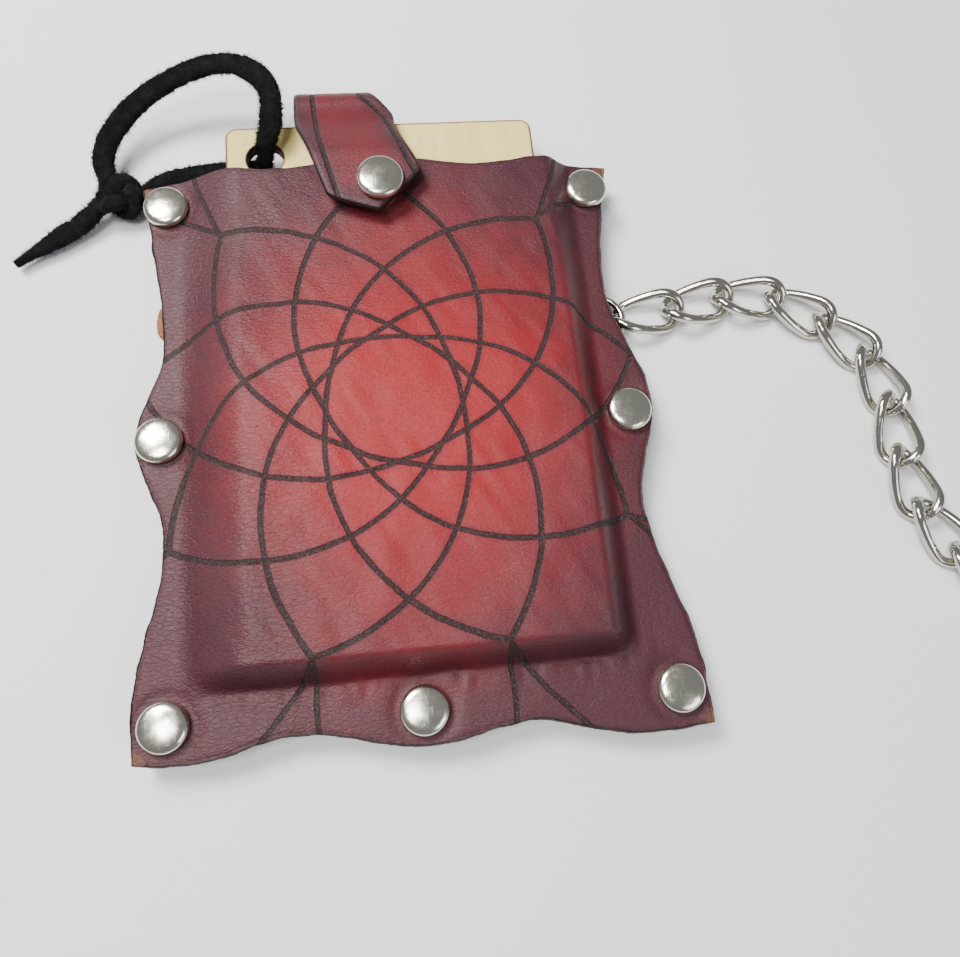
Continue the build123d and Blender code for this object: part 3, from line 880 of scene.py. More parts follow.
def slab(name: str, top: Array, bottom: Array, edge: Array, fray: float = 0.0) -> bpy.types.Object:
    """A closed thick sheet from its two grids, with a rounded wall round the border.

    The wall has five rings between the two borders; each stands out by sin(pi v) of a third of the
    thickness, v going from 0 at the top to 1 at the bottom, plus seeded noise where the edge is frayed.

    Args:
        name: the piece's name.
        top: rows by columns by 3.
        bottom: the same shape.
        edge: rows by columns, distance from the border in millimetres.
        fray: roughness of the wall in millimetres.

    Returns:
        The object, with attributes rim (1 on the wall) and edge.
    """
    rows, columns = top.shape[:2]
    loop = border_loop(rows, columns)
    upper = top.reshape(-1, 3)
    lower = bottom.reshape(-1, 3)
    high = upper[loop]
    low = lower[loop]
    along = np.roll(high, -1, axis=0) - np.roll(high, 1, axis=0)
    out = unit(np.cross(along, high - low))
    inward = upper.mean(0) - high
    if np.sum(out * inward) > 0:
        out = -out
    thick = np.linalg.norm(high - low, axis=1, keepdims=True)
    shares = np.linspace(0, 1, 7)[1:-1]
    rings = []
    for place, share in enumerate(shares):
        ragged = fray * noise2(high[:, 0] * 1.7 + 3.1 * place, high[:, 1] * 1.7, 40 + place)[:, None]
        rings.append(high + (low - high) * share + out * (thick * 0.16 * math.sin(math.pi * share) + ragged))
    wall = np.concatenate(rings)
    points = np.concatenate([upper, lower, wall])
    count = len(loop)
    base = 2 * rows * columns
    order = [loop] + [base + place * count + np.arange(count) for place in range(len(shares))] + [loop + rows * columns]
    faces = [grid_quads(rows, columns, False, False), grid_quads(rows, columns, False, False)[:, ::-1] + rows * columns]
    for first, second in zip(order, order[1:]):
        faces.append(np.stack([first, second, np.roll(second, -1), np.roll(first, -1)], -1))
    quads = np.concatenate(faces)
    rim = np.concatenate([np.zeros(base), np.ones(len(wall))])
    piece = make_object(name, points, orient(points, quads))
    add_attribute(piece, "rim", rim)
    add_attribute(piece, "edge", np.concatenate([edge.ravel(), edge.ravel(), np.zeros(len(wall))]))
    return piece


def orient(points: Array, quads: Array) -> Array:
    """Turn all quads round if the closed surface they make has a negative volume.

    Args:
        points: N by 3.
        quads: M by 4 vertex numbers.

    Returns:
        The quads, facing outwards.
    """
    a, b, c, d = (points[quads[:, place]] for place in range(4))
    volume = np.sum(a * np.cross(b, c)) + np.sum(a * np.cross(c, d))
    return quads if volume > 0 else quads[:, ::-1]


# ------------------------------------------------------------------------------------ the case
RIVETS = [(-50.4, 58.9), (49.2, 59.2), (-51.8, 1.8), (51.5, 1.6), (-50.8, -57.2), (0.2, -59.0), (53.2, -59.9)]


@dataclass
class Panels:
    """Both leather panels: a wet-moulded front over a flat back, cut to one scalloped outline."""

    half_x: float = 50.8
    half_y: float = 59.0
    margin: float = 6.3
    back_low: float = 4.6
    back_top: float = 6.6
    front_top: float = 8.6
    bulge_left: float = 47.3
    bulge_right: float = 46.3
    bulge_foot: float = 52.6
    bulge_height: float = 8.2
    mouth_height: float = 4.8
    columns: int = 190
    rows: int = 220

    def borders(self) -> tuple[Array, Array, Array, Array]:
        """The four scalloped edges: top and low from left to right, left and right from low to top.

        Returns:
            The top, low, left and right edges, each count by 2.
        """
        hx, hy = self.half_x, self.half_y
        left, right, top, low = -hx - self.margin, hx + self.margin, hy + self.margin, -hy - self.margin
        a, b = (left + 1.2, top - 0.7), (right - 2.2, top + 0.2)
        c, d = (right + 2.6, low - 2.0), (left, low + 1.5)
        upper = spline_through([a, (-37, top + 1.3), (-25, top), (-13, top + 1.6), (9, top + 1.5),
                                (25.5, top - 0.3), (37, top + 1.2), b], self.columns)
        lower = spline_through([d, (-42.5, low + 1.0), (-30, low + 3.8), (-20, low + 3.6), (0.6, low - 0.7),
                                (23, low + 2.2), (38.5, low - 1.6), c], self.columns)
        leftward = spline_through([d, (left + 0.1, -51), (-hx - 0.7, -27), (-hx - 0.6, -16), (-hx - 6.3, 3),
                                   (-hx - 0.8, 20), (-hx - 0.8, 34), a], self.rows)
        rightward = spline_through([c, (right + 1.7, -52), (hx + 2.2, -29), (hx + 1.2, -16), (hx + 6.5, 2.5),
                                    (hx, 29), (hx - 0.2, 40), b], self.rows)
        return upper, lower, leftward, rightward

    def plan(self, ragged: float) -> Array:
        """The Coons patch of the four edges: both ruled surfaces added, less the bilinear one.

        Args:
            ragged: how far the hand-cut edge strays, in millimetres.

        Returns:
            rows by columns by 2, row 0 at the foot.
        """
        upper, lower, leftward, rightward = self.borders()
        u = np.linspace(0, 1, self.columns)[None, :, None]
        v = np.linspace(0, 1, self.rows)[:, None, None]
        patch = (1 - v) * lower[None] + v * upper[None] + (1 - u) * leftward[:, None] + u * rightward[:, None]
        patch -= (1 - u) * (1 - v) * lower[0] + u * (1 - v) * lower[-1] + (1 - u) * v * upper[0] + u * v * upper[-1]
        near = np.maximum(1 - np.minimum(np.minimum(u, 1 - u), np.minimum(v, 1 - v)) * 30, 0)[..., 0]
        patch[..., 0] += ragged * near * noise2(patch[..., 1] / 3.5, patch[..., 0] / 30, 5)
        patch[..., 1] += ragged * near * noise2(patch[..., 0] / 3.5, patch[..., 1] / 30, 6)
        return patch

    def border_outline(self) -> Array:
        """The closed outline as one loop of plan points."""
        upper, lower, leftward, rightward = self.borders()
        return np.concatenate([lower[:-1], rightward[:-1], upper[::-1][:-1], leftward[::-1][:-1]])

    def bulge(self, x: Array, y: Array, inset: float) -> Array:
        """Height of the moulded front above its flange.

        Three walls, each an eased rise over its own run, are multiplied; the crown sinks from the
        bulge's height to the mouth's by an eased step along Y.

        Args:
            x: plan X.
            y: plan Y.
            inset: how far the walls stand in, for the inner face.

        Returns:
            Heights in millimetres.
        """
        wall = smooth((x + self.bulge_left + 1.2 - inset) / 16.0)
        wall = wall * smooth((self.bulge_right - inset - x) / 7.5)
        wall = wall * smooth((y + self.bulge_foot - inset) / 5.6)
        sink = smooth((y - 2.0) / 48.0)
        return wall * (self.bulge_height + (self.mouth_height - self.bulge_height) * sink)

    def relief(self, x: Array, y: Array, raised: Array) -> Array:
        """Hand-worked unevenness: broad hollows and folds on the bulge, none under the rivets.

        Args:
            x: plan X.
            y: plan Y.
            raised: the bulge's height.

        Returns:
            Offsets in millimetres.
        """
        lift = raised / self.bulge_height
        wave = 0.34 * noise2(x / 13 + 4, y / 17 + 2, 11) + 0.16 * noise2(x / 5 + 9, y / 7, 12)
        fold = 0.10 * noise2((x + 0.6 * y) / 2.6, (y - 0.6 * x) / 11, 13)
        flange = 0.10 * noise2(x / 7, y / 7 + 31, 14) * (1 - lift)
        calm = np.ones_like(x)
        for rx, ry in [*RIVETS, (-0.5, 57.6)]:
            calm = calm * smooth((np.hypot(x - rx, y - ry) - 4.5) / 4.0)
        dimple = sum(-0.35 * np.exp(-((np.hypot(x - rx, y - ry) - 6.0) / 1.3) ** 2) for rx, ry in RIVETS)
        foot = -self.bulge_foot + 0.7 + 0.5 * noise2(x / 6, 0 * x + 3, 15)
        depth = 0.55 * smooth((x + 44) / 8) * smooth((44 - x) / 8) * (0.75 + 0.5 * noise2(x / 4, 0 * x, 16))
        crease = -depth * np.exp(-((y - foot) / 0.8) ** 2)
        pucker = 0.22 * noise2(x / 1.6, y / 5, 18) * np.exp(-((y - foot + 1.5) / 2.5) ** 2)
        return ((wave + fold) * lift + flange + crease + pucker) * calm + dimple * (1 - lift)

    def build_front(self) -> bpy.types.Object:
        """The moulded front panel: flange level plus bulge plus relief, its border rounded off.

        Returns:
            The object.
        """
        plan = self.plan(0.22)
        x, y = plan[..., 0], plan[..., 1]
        edge = outline_distance(plan, self.border_outline()[::3])
        raised = self.bulge(x, y, 0.0)
        rounding = 0.35 * (1 - np.minimum(edge / 0.9, 1)) ** 2
        outer = self.front_top + raised + self.relief(x, y, raised) - rounding
        inner = self.back_top + self.bulge(x, y, 1.5) + 0.04
        piece = slab("front_leather", np.dstack([x, y, outer]), np.dstack([x, y, inner]), edge, 0.10)
        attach(piece, "case")
        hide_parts("front_panel")
        return piece

    def build_back(self) -> bpy.types.Object:
        """The flat back panel, its underside a little uneven.

        Returns:
            The object.
        """
        plan = self.plan(0.16)
        x, y = plan[..., 0], plan[..., 1]
        edge = outline_distance(plan, self.border_outline()[::3])
        rounding = 0.25 * (1 - np.minimum(edge / 0.9, 1)) ** 2
        top = self.back_top - 0.03 + 0 * x
        low = self.back_low + rounding + 0.05 * noise2(x / 9, y / 9, 17) + 0.03
        piece = slab("back_leather", np.dstack([x, y, top]), np.dstack([x, y, low]), edge, 0.10)
        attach(piece, "case")
        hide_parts("back_panel")
        return piece

    def build(self, finishes: Finishes) -> None:
        """Both panels in their leathers."""
        dress(self.build_front(), finishes.front)
        dress(self.build_back(), finishes.back)


@dataclass
class Run:
    """A leather strap's side view: mid-line points and normals at even steps of arc length."""

    along: Array
    level: Array

    def at(self, length: Array) -> tuple[Array, Array, Array, Array]:
        """Place and normal at a length along the run.

        Args:
            length: arc lengths in millimetres.

        Returns:
            The place's two coordinates and the normal's two.
        """
        place = self.place
        a = np.interp(length, place, self.along)
        b = np.interp(length, place, self.level)
        da = np.gradient(self.along, place)
        db = np.gradient(self.level, place)
        size = np.hypot(da, db)
        return a, b, np.interp(length, place, -db / size), np.interp(length, place, da / size)

    @property
    def place(self) -> Array:
        """Arc length from the run's start to each of its points."""
        return travelled(np.stack([self.along, self.level], -1))

    @property
    def length(self) -> float:
        """Arc length of the whole run."""
        return float(self.place[-1])

    def past_crest(self, along: float | Array) -> Array:
        """Arc length at which the run, past its farthest point, comes back to a coordinate.

        Args:
            along: the coordinate, or several.

        Returns:
            The arc lengths.
        """
        crest = int(np.argmax(self.along))
        return np.interp(along, self.along[crest:][::-1], self.place[crest:][::-1])


def between(points: Array, count: int) -> Array:
    """Even samples along a polyline whose corners are eased by three rounds of corner cutting.

    Args:
        points: corners by 2.
        count: samples wanted.

    Returns:
        count by 2.
    """
    line = points
    for _ in range(3):
        cut_in = line[:-1] * 0.82 + line[1:] * 0.18
        cut_out = line[:-1] * 0.18 + line[1:] * 0.82
        inner = np.stack([cut_in, cut_out], 1).reshape(-1, 2)
        line = np.concatenate([line[:1], inner, line[-1:]])
    place = travelled(line)
    even = np.linspace(0, place[-1], count)
    return np.stack([np.interp(even, place, line[:, 0]), np.interp(even, place, line[:, 1])], -1)


@dataclass
class Closure:
    """The strap that runs up behind the case, over the paddle's end and down to the snap."""

    thick: float = 2.0
    anchor: float = 40.0
    fold_y: float = 83.0
    low: float = 3.6
    high: float = 17.4
    radius: float = 4.5
    neck_left: float = -19.5
    neck_right: float = -2.5
    rows: int = 260
    columns: int = 64

    def side(self) -> Run:
        """Straight behind the case, half round the fold, then an S up to the snap's level.

        The S is a cubic with level ends: start (2t^3 - 3t^2 + 1) + end (3t^2 - 2t^3) and its two slope terms.

        Returns:
            The run, Y against Z.
        """
        middle = self.low + self.radius
        rear = np.stack([np.linspace(self.anchor, self.fold_y, 40), np.full(40, self.low)], -1)
        turn = np.linspace(-math.pi / 2, math.pi / 2, 40)[1:]
        fold = np.stack([self.fold_y + self.radius * np.cos(turn), middle + self.radius * np.sin(turn)], -1)
        t = np.linspace(0, 1, 60)[1:]
        start, end = self.fold_y - 1.0, 64.6
        reach = start - end
        rise_y = start * (2 * t**3 - 3 * t**2 + 1) + end * (3 * t**2 - 2 * t**3)
        rise_y = rise_y - reach * (t**3 - 2 * t**2 + t) - reach * (t**3 - t**2)
        rise_z = middle + self.radius + (self.high - middle - self.radius) * (3 * t**2 - 2 * t**3)
        rise = np.stack([rise_y, rise_z], -1)
        last = np.stack([np.linspace(end, 44.0, 20)[1:], np.full(19, self.high)], -1)
        path = np.concatenate([rear, fold, [[start, middle + self.radius]], rise, last])
        return Run(path[:, 0], path[:, 1])

    def edges(self, run: Run) -> tuple[Array, Array]:
        """Left and right edges of the flat strap: X against length along the run.

        The flap's plan outline is laid on the run by its Y, and both edges meet at the blunt tip.

        Args:
            run: the strap's side view.

        Returns:
            Two arrays of rows by 2.
        """
        lay = run.past_crest
        left = np.array([(self.neck_left + 8.5, 0.0), (self.neck_left + 1.2, 0.0), (self.neck_left, 3.0),
                         (self.neck_left, lay(87.0)), (-19.6, lay(77.0)), (-17.6, lay(71.2)), (-13.4, lay(57.6)),
                         (-12.4, lay(54.4)), (-1.6, lay(50.5)), (-0.8, lay(50.6))])
        right = np.array([(self.neck_left + 8.5, 0.0), (self.neck_right - 1.2, 0.0), (self.neck_right, 3.0),
                          (self.neck_right, lay(87.0)), (3.6, lay(79.7)), (3.7, lay(75.4)), (5.6, lay(68.5)),
                          (8.8, lay(61.6)), (8.5, lay(59.6)), (-0.8, lay(50.6))])
        return between(left, self.rows), between(right, self.rows)

    def groove_distance(self, run: Run, flat: Array) -> Array:
        """Distance from the two burnt lines that follow the strap's sides.

        Args:
            run: the strap's side view.
            flat: X against length along the run.

        Returns:
            Distances in millimetres.
        """
        lay = run.past_crest
        left = np.array([(-15.6, 0.0), (-15.4, lay(86.5)), (-14.2, lay(70.7)), (-10.9, lay(57.0)), (-9.6, lay(51.0))])
        right = np.array([(-6.6, 0.0), (-6.4, lay(86.5)), (0.6, lay(80.2)), (4.1, lay(68.5)), (6.9, lay(61.0)),
                          (8.4, lay(58.0))])
        return np.minimum(outline_distance(flat, between(left, 80), False),
                          outline_distance(flat, between(right, 80), False))

    def build(self, finishes: Finishes) -> None:
        """One piece of leather, shaped round the fold from behind the case down to the snap.

        Args:
            finishes: the materials.
        """
        run = self.side()
        left, right = self.edges(run)
        share = 0.5 - 0.5 * np.cos(np.linspace(0, math.pi, self.columns))
        share = (share + np.linspace(0, 1, self.columns))[None, :, None] / 2
        flat = left[:, None] + (right - left)[:, None] * share
        edge = outline_distance(flat, np.concatenate([left[::2], right[::-2]]))
        y, z, ny, nz = run.at(flat[..., 1])
        half = self.thick / 2 - 0.30 * (1 - np.minimum(edge / 0.9, 1)) ** 2
        x = flat[..., 0]
        groove_gap = self.groove_distance(run, flat)
        groove = 0.12 * np.exp(-(groove_gap / 0.45) ** 2)
        up = np.dstack([np.zeros_like(x), ny, nz])
        middle = np.dstack([x, y, z])
        # the normal of a run that starts along +Y points up, and outside the fold it points inwards
        outside = middle - up * half[..., None] + up * groove[..., None]
        inside = middle + up * half[..., None]
        piece = slab("closure_strap", outside, inside, edge, 0.06)
        add_attribute(piece, "groove", np.concatenate([groove_gap.ravel(), np.full(len(piece.data.vertices)
                                                       - groove_gap.size, 9.0)]))
        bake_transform(piece)
        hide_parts("closure_rear", "closure_flap")
        dress(piece, finishes.strap)


@dataclass
class BeltStrap:
    """The strap across the back that forms the belt loop and holds the ring in its folded end."""

    thick: float = 1.4
    width: float = 9.6
    left_end: float = -53.9
    lean: float = -3.0
    bar_x: float = 45.5
    fold_z: float = 2.3
    tuck: float = 17.0
    columns: int = 40
    rows: int = 260

    def side(self) -> Run:
        """High at the left rivet, an eased step down to the rest face, the fold and the tucked end.

        Returns:
            The run, X against Z.
        """
        high, low = 3.9, 0.7
        t = np.linspace(0, 1, 30)
        step = np.stack([-38 + 7 * t, high + (low - high) * (3 * t**2 - 2 * t**3)], -1)
        turn = np.linspace(-math.pi / 2, math.pi / 2, 30)[1:]
        reach = self.fold_z - low
        fold = np.stack([self.bar_x + reach * np.cos(turn), self.fold_z + reach * np.sin(turn)], -1)
        path = np.concatenate([[[self.left_end, high]], step, [[self.bar_x, low]], fold,
                               [[self.bar_x - self.tuck, high]]])
        return Run(path[:, 0], path[:, 1])

    def build(self, finishes: Finishes) -> None:
        """The strap in its leather: its flat outline laid along the run, then leaned about Z.

        Args:
            finishes: the materials.
        """
        run = self.side()
        half_width = self.width / 2
        length = run.length
        left = between(np.array([(0.0, 0.0), (0.3, -half_width * 0.62), (2.2, -half_width),
                                 (length - 1, -half_width), (length, -half_width + 1), (length, 0.0)]), self.rows)
        right = left * np.array([1.0, -1.0])
        share = np.linspace(0, 1, self.columns)[None, :, None]
        flat = left[:, None] + (right - left)[:, None] * share
        edge = outline_distance(flat, np.concatenate([left[::2], right[::-2]]))
        x, z, nx, nz = run.at(flat[..., 0])
        half = self.thick / 2 - 0.22 * (1 - np.minimum(edge / 0.8, 1)) ** 2
        across = flat[..., 1]
        up = np.dstack([nx, np.zeros_like(x), nz])
        middle = np.dstack([x, across, z])
        top, bottom = middle + up * half[..., None], middle - up * half[..., None]
        spin = turned(self.lean)
        offset = np.array([0.0, -MID_Y, 0.0])
        piece = slab("belt_leather", top @ spin + offset, bottom @ spin + offset, edge, 0.05)
        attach(piece, "case")
        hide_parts("belt_strap")
        dress(piece, finishes.tan)


# ------------------------------------------------------------------------------------ the paddle
@dataclass
class Paddle:
    """The plywood board with rounded corners and one hole for its lace."""

    width: float = 74.0
    length: float = 127.0
    thick: float = 3.2
    corner: float = 2.75
    middle_x: float = 0.5
    top: float = 79.3
    low: float = 6.85
    hole: tuple[float, float, float] = (-27.3, 70.5, 4.3)
    around: int = 960
    across: int = 14

    def outline(self) -> Array:
        """The rounded rectangle, evenly sampled by length.

        Four quarter circles are joined by straight lines and resampled at even steps of length.

        Returns:
            around by 2.
        """
        hw, hl, r = self.width / 2, self.length / 2, self.corner
        turn = np.linspace(0, math.pi / 2, 12)
        arc = np.stack([np.cos(turn), np.sin(turn)], -1) * r
        corners = [arc + (hw - r, hl - r), arc[::-1] * (-1, 1) + (r - hw, hl - r),
                   arc * (-1, -1) + (r - hw, r - hl), arc[::-1] * (1, -1) + (hw - r, r - hl)]
        loop = np.concatenate([*corners, corners[0][:1]])
        place = travelled(loop)
        even = np.linspace(0, place[-1], self.around, endpoint=False)
        loop = np.stack([np.interp(even, place, loop[:, 0]), np.interp(even, place, loop[:, 1])], -1)
        return loop + (self.middle_x, self.top - hl)

    def build(self, finishes: Finishes) -> None:
        """Rings from the outline to the hole and back underneath, closed both ways.

        Args:
            finishes: the materials.
        """
        outer = self.outline()
        centre = np.array(self.hole[:2])
        away = unit(outer - centre)
        step = np.roll(outer, -1, axis=0) - np.roll(outer, 1, axis=0)
        normal = unit(np.stack([step[:, 1], -step[:, 0]], -1))
        high, low = self.low + self.thick, self.low

        def ring(inset: float, level: float) -> Array:
            """The outline moved in by an inset, at a level."""
            return np.column_stack([outer - normal * inset, np.full(len(outer), level)])

        def eye(outset: float, level: float) -> Array:
            """The hole's circle moved out by an outset, at a level."""
            return np.column_stack([centre + away * (self.hole[2] + outset), np.full(len(outer), level)])

        share = np.linspace(0, 1, self.across)[1:-1]
        rings = [ring(0, low + 0.2), ring(0, low + 1.6), ring(0, high - 0.2), ring(0.18, high), ring(0.55, high),
                 ring(1.3, high)]
        rims = [1.0, 1.0, 1.0, 0.95, 0.45, 0.0]
        for part in share:
            rings.append(ring(1.3, high) * (1 - part) + eye(1.0, high) * part)
            rims.append(0.0)
        rings += [eye(1.0, high), eye(0.45, high), eye(0.15, high), eye(0, high - 0.2), eye(0, low + 0.2),
                  eye(0.15, low), eye(0.45, low), eye(1.0, low)]
        rims += [0.0, 0.4, 0.95, 1.0, 1.0, 0.95, 0.4, 0.0]
        for part in share:
            rings.append(eye(1.0, low) * (1 - part) + ring(1.3, low) * part)
            rims.append(0.0)
        rings += [ring(1.3, low), ring(0.55, low), ring(0.18, low)]
        rims += [0.0, 0.45, 0.95]
        grid = np.stack(rings)
        points = grid.reshape(-1, 3)
        quads = grid_quads(len(rings), self.around, True, True)
        piece = make_object("paddle_wood", points, orient(points, quads))
        add_attribute(piece, "rim", np.repeat(rims, self.around))
        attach(piece, "paddle")
        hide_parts("paddle_board")
        dress(piece, finishes.ply)


@dataclass
class Lace:
    """The flat suede lace: a loop through the paddle's hole, a knot and two short tails."""

    width: float = 4.8
    thick: float = 1.9
    length: float = 148.9
    knot_centre: tuple[float, float, float] = (-62.0, 65.4, 4.3)
    knot_lean: float = 50.0
    square: float = 3.2
    knot_square: float = 2.8
    hole_place: tuple[float, float, float] = (-27.4, 70.6, 8.5)
    fibres: int = 16000
    knot_fibres: int = 3000
    route: tuple[tuple[float, float, float], ...] = (
        (-0.0865, 0.0205, 0.0025), (-0.0785, 0.0261, 0.0024), (-0.0705, 0.0307, 0.0032), (-0.0640, 0.0370, 0.0056),
        (-0.0670, 0.0475, 0.0060), (-0.0595, 0.0580, 0.0085), (-0.0470, 0.0637, 0.0125), (-0.0340, 0.0641, 0.0165),
        (-0.0246, 0.0565, 0.0180), (-0.0242, 0.0470, 0.0165), (-0.0273, 0.0411, 0.0124), (-0.0276, 0.0414, 0.0052),
        (-0.0360, 0.0435, 0.0030), (-0.0460, 0.0429, 0.0026), (-0.0550, 0.0405, 0.0028), (-0.0605, 0.0340, 0.0036))
    broad_ways: tuple[tuple[float, float, float], ...] = (
        (-0.6, 0.8, 0.0), (-0.55, 0.83, 0.0), (-0.7, 0.7, 0.0), (-0.9, 0.3, 0.2), (-1.0, 0.2, 0.3), (-0.6, 0.75, 0.25),
        (-0.2, 0.9, 0.35), (0.25, 0.9, 0.25), (0.85, 0.5, 0.2), (1.0, 0.1, 0.1), (1.0, 0.0, 0.0), (0.75, -0.65, 0.0),
        (-0.1, -1.0, 0.0), (0.0, -1.0, 0.0), (0.3, -0.95, 0.0), (0.8, -0.6, 0.0))

    def centreline(self) -> Array:
        """Points of the route's own NURBS spline.

        Returns:
            stations by 3, in the frame's metres.
        """
        data = bpy.data.curves.new("lace_route", "CURVE")
        data.dimensions = "3D"
        spline = data.splines.new("NURBS")
        spline.points.add(len(self.route) - 1)
        flat = np.column_stack([np.array(self.route), np.ones(len(self.route))])
        spline.points.foreach_set("co", flat.ravel())
        spline.order_u = 3
        spline.use_endpoint_u = True
        spline.resolution_u = 36
        holder = bpy.data.objects.new("lace_route", data)
        mesh = bpy.data.meshes.new_from_object(holder)
        points = np.empty(len(mesh.vertices) * 3)
        mesh.vertices.foreach_get("co", points)
        bpy.data.objects.remove(holder)
        bpy.data.meshes.remove(mesh)
        return points.reshape(-1, 3)

    def section(self, path: Array, width: Array, thick: Array, broad: Array, around: int, seed: int) -> Array:
        """Rings of a flat oval swept along a path with its broad side along a given way.

        Args:
            path: stations by 3.
            width: at each station.
            thick: at each station.
            broad: the wanted broad direction at each station.
            around: points in a ring.
            seed: for the nap's unevenness.

        Returns:
            stations by around by 3.
        """
        ahead = unit(np.gradient(path, axis=0))
        side = unit(broad - np.sum(broad * ahead, -1, keepdims=True) * ahead)
        up = np.cross(ahead, side)
        turn = np.linspace(0, 2 * math.pi, around, endpoint=False)
        across, lift = flat_oval(turn, self.square)
        place = travelled(path)[:, None]
        nap = 1 + 0.07 * noise2(place / 0.9 + 0 * turn, turn[None] * 2.2 + 0 * place, seed)
        nap = nap + 0.07 * noise2(place / 0.42 + 0 * turn, turn[None] * 5 + 0 * place, seed + 1)
        wide = (width[:, None] / 2 * across * nap)[..., None] * side[:, None]
        tall = (thick[:, None] / 2 * lift * nap)[..., None] * up[:, None]
        return path[:, None] + wide + tall

    def pinch(self, path: Array) -> Array:
        """How much the lace is gathered: a bell of each station's distance from the knot and from the hole.

        Args:
            path: stations by 3.

        Returns:
            0 for flat, up to 0.45 in the knot and 0.30 in the hole.
        """
        centre = np.array(self.knot_centre)
        near_knot = np.exp(-(np.linalg.norm(path - centre, axis=1) / 6.0) ** 2)
        near_hole = np.exp(-(np.linalg.norm(path - np.array(self.hole_place), axis=1) / 5.0) ** 2)
        return np.maximum(near_knot * 0.45, near_hole * 0.30)

    def build_tube(self) -> tuple[bpy.types.Object, Array, Array]:
        """The lace itself.

        Returns:
            The object, its centreline in the frame's metres, and its rings in millimetres.
        """
        line = self.centreline()
        path = line / MM - np.array([0.0, MID_Y, 0.0])
        place = np.linspace(0, len(self.broad_ways) - 1, len(path))
        ways = np.array(self.broad_ways)
        number = np.arange(len(ways))
        broad = np.stack([np.interp(place, number, ways[:, axis]) for axis in range(3)], -1)
        pinch = self.pinch(path)
        sway = 1 + 0.07 * noise2(place * 1.3, 0 * place, 61)
        tip = 0.30 + 0.70 * smooth(travelled(path) / 13.0)
        rings = self.section(path, self.width * (1 - pinch) * sway * tip,
                             self.thick * (1 + 0.6 * pinch), broad, 44, 62)
        rings[..., 2] = np.maximum(rings[..., 2], 0.1)
        piece = tube_mesh("lace_suede", rings, False)
        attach(piece, "paddle")
        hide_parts("lace")
        return piece, line, rings

    def build_knot(self) -> tuple[bpy.types.Object, Array]:
        """The knot: a flat oval along (sin t + 2 sin 2t, cos t - 2 cos 2t, -sin 3t), turned by its lean.

        Returns:
            The object and its rings in millimetres.
        """
        t = np.linspace(0, 2 * math.pi, 320, endpoint=False)
        loop = np.stack([1.45 * (np.sin(t) + 2 * np.sin(2 * t)), 1.15 * (np.cos(t) - 2 * np.cos(2 * t)),
                         -1.45 * np.sin(3 * t) + 0.3], -1)
        path = loop @ turned(self.knot_lean) + np.array(self.knot_centre)
        ahead = unit(np.roll(path, -1, axis=0) - np.roll(path, 1, axis=0))
        broad = unit(np.cross(np.tile([0.0, 0.0, 1.0], (len(t), 1)), ahead))
        up = np.cross(ahead, broad)
        around = np.linspace(0, 2 * math.pi, 40, endpoint=False)
        across, lift = flat_oval(around, self.knot_square)
        nap = 1 + 0.10 * noise2(t[:, None] * 9 + 0 * around, around[None] * 3 + 0 * t[:, None], 71)[..., None]
        rings = path[:, None] + nap * (2.1 * across[None, :, None] * broad[:, None]
                                       + 1.25 * lift[None, :, None] * up[:, None])
        rings[..., 2] = np.maximum(rings[..., 2], 0.15)
        piece = tube_mesh("lace_knot_suede", rings, True)
        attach(piece, "paddle")
        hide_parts("lace_knot")
        return piece, rings

    def build_fuzz(self, name: str, rings: Array, count: int) -> bpy.types.Object:
        """Loose fibres of the nap: thin bent ribbons that stand out from seeded spots of the surface.

        Each fibre is a four-station ribbon along root + (outward l + droop l^2) for l from 0 to its length.

        Args:
            name: the piece's name.
            rings: the suede's surface.
            count: how many fibres.

        Returns:
            The object.
        """
        dice = np.random.default_rng(count)
        station = dice.integers(1, len(rings) - 1, count)
        spot = dice.integers(0, rings.shape[1], count)
        root = rings[station, spot]
        out = unit(root - rings[station].mean(1))
        way = unit(out + dice.normal(0, 0.7, (count, 3)))
        curl = dice.normal(0, 0.35, (count, 3))
        length = dice.uniform(0.25, 1.0, (count, 1))
        reach = np.linspace(0, 1, 4)[None, :, None]
        line = root[:, None] + way[:, None] * length[:, None] * reach + curl[:, None] * length[:, None] * reach ** 2
        side = unit(np.cross(way, dice.normal(0, 1, (count, 3))))
        half = 0.075 * (1 - 0.8 * reach)
        strip = np.stack([line - side[:, None] * half, line + side[:, None] * half], 2)
        strip[..., 2] = np.maximum(strip[..., 2], 0.05)
        points = strip.reshape(-1, 3)
        base = (np.arange(count) * 8)[:, None, None]
        step = (np.arange(3) * 2)[None, :, None]
        quads = (base + step + np.array([0, 1, 3, 2])).reshape(-1, 4)
        piece = make_object(name, points, quads)
        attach(piece, "paddle")
        return piece

    def build(self, finishes: Finishes) -> None:
        """Lace, knot and fibres, all dressed in suede.

        Args:
            finishes: the materials.
        """
        lace, line, rings = self.build_tube()
        knot, knot_rings = self.build_knot()
        fuzz = self.build_fuzz("lace_fibres", rings, self.fibres)
        knot_fuzz = self.build_fuzz("knot_fibres", knot_rings, self.knot_fibres)
        for piece in (lace, knot, fuzz, knot_fuzz):
            dress(piece, finishes.suede)


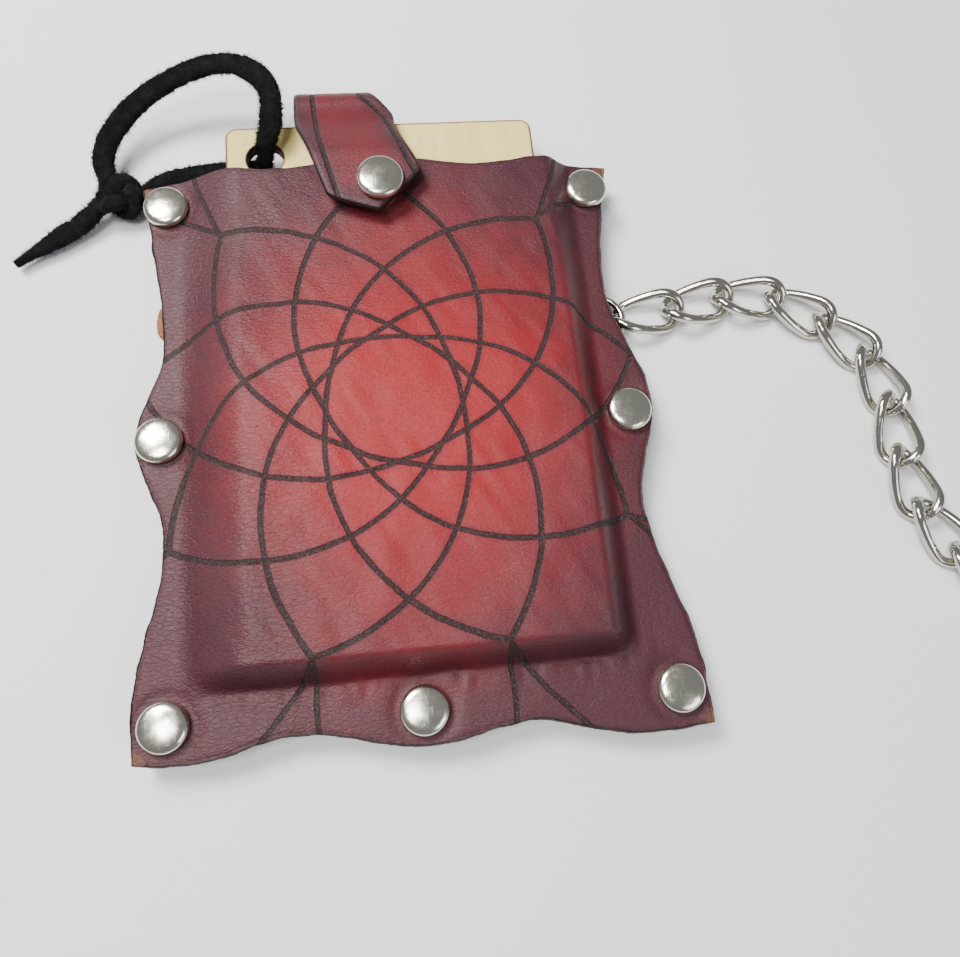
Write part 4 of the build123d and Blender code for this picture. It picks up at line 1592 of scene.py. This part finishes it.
# ------------------------------------------------------------------------------------ metal
@dataclass
class Metalwork:
    """Rivets, snap, ring, chain and clasp: the turned and bent pieces keep their own surfaces."""

    plated: tuple[str, ...] = ("case_rivet_caps", "case_rivet_backs", "belt_rivet_heads", "belt_rivet_flanges",
                               "closure_rivet_heads", "closure_rivet_flanges", "snap_cap", "snap_socket", "snap_stud",
                               "snap_eyelet")
    wire: tuple[str, ...] = ("belt_ring", "clasp_swivel", "clasp_body", "clasp_gate")
    links: int = 13

    def build(self, finishes: Finishes) -> None:
        """Give every metal piece its plate.

        Args:
            finishes: the materials.
        """
        for name in self.plated:
            dress(bpy.data.objects[name], finishes.caps)
        for name in (*self.wire, *(f"chain_link_{number:02d}" for number in range(1, self.links + 1))):
            dress(bpy.data.objects[name], finishes.wire)


# ------------------------------------------------------------------------------------ studio
@dataclass
class Studio:
    """The camera, the pale sweep, a soft key at the upper left, an overhead box and a low fill."""

    camera_place: tuple[float, float, float] = (-0.00086, -0.0861, 0.1766)
    camera_turn: tuple[float, float, float] = (15.383, -4.246, -5.720)
    lens: float = 29.95
    floor_half: float = 1.6

    def build_camera(self) -> None:
        """The camera, placed and turned as its fields say."""
        data = bpy.data.cameras.new("view")
        data.lens = self.lens
        data.sensor_width = 36.0
        data.clip_start = 0.005
        camera = bpy.data.objects.new("view", data)
        camera.location = self.camera_place
        camera.rotation_euler = Euler([math.radians(angle) for angle in self.camera_turn], "XYZ")
        bpy.context.scene.collection.objects.link(camera)
        bpy.context.scene.camera = camera

    def soft_box(self, name: str, place: tuple[float, float, float], size: float, power: float,
                 tone: Colour = (1.0, 1.0, 1.0)) -> bpy.types.Object:
        """A square area light aimed at the case.

        Args:
            name: the light's name.
            place: where it stands, in metres.
            size: its side in metres.
            power: in watts.
            tone: its colour.

        Returns:
            The light.
        """
        data = bpy.data.lights.new(name, "AREA")
        data.energy = power
        data.size = size
        data.color = tone
        light = bpy.data.objects.new(name, data)
        light.location = place
        light.rotation_mode = "QUATERNION"
        light.rotation_quaternion = (Vector((0, -0.02, 0)) - Vector(place)).to_track_quat("-Z", "Y")
        bpy.context.scene.collection.objects.link(light)
        return light

    def build(self) -> None:
        """Floor, lights and the grey room that the metal mirrors."""
        half = self.floor_half
        mesh = bpy.data.meshes.new("floor")
        mesh.from_pydata([(-half, -half, 0), (half, -half, 0), (half, half, 0), (-half, half, 0)], [], [(0, 1, 2, 3)])
        floor = bpy.data.objects.new("floor", mesh)
        bpy.context.scene.collection.objects.link(floor)
        mesh.materials.append(FloorPaper().make())
        key = self.soft_box("key", (-0.26, 0.22, 0.52), 0.24, 7.2, (1.0, 0.99, 0.965))
        overhead = self.soft_box("overhead", (-0.17, -0.10, 0.62), 0.20, 2.9, (1.0, 0.995, 0.98))
        fill = self.soft_box("fill", (0.36, -0.40, 0.34), 0.30, 1.3, (0.95, 0.97, 1.0))
        world = bpy.data.worlds.new("room")
        world.use_nodes = True
        world.node_tree.nodes["Background"].inputs[0].default_value = (0.93, 0.96, 1.0, 1.0)
        world.node_tree.nodes["Background"].inputs[1].default_value = 0.30
        bpy.context.scene.world = world


def main() -> None:
    """Build the camera, then each sub-assembly in order, then the studio."""
    studio = Studio()
    studio.build_camera()
    finishes = Finishes()
    for part in (Lace(), Panels(), Closure(), BeltStrap(), Paddle(), Metalwork()):
        part.build(finishes)
        log.info("built %s", type(part).__name__)
    studio.build()


if __name__ == "__main__":
    main()
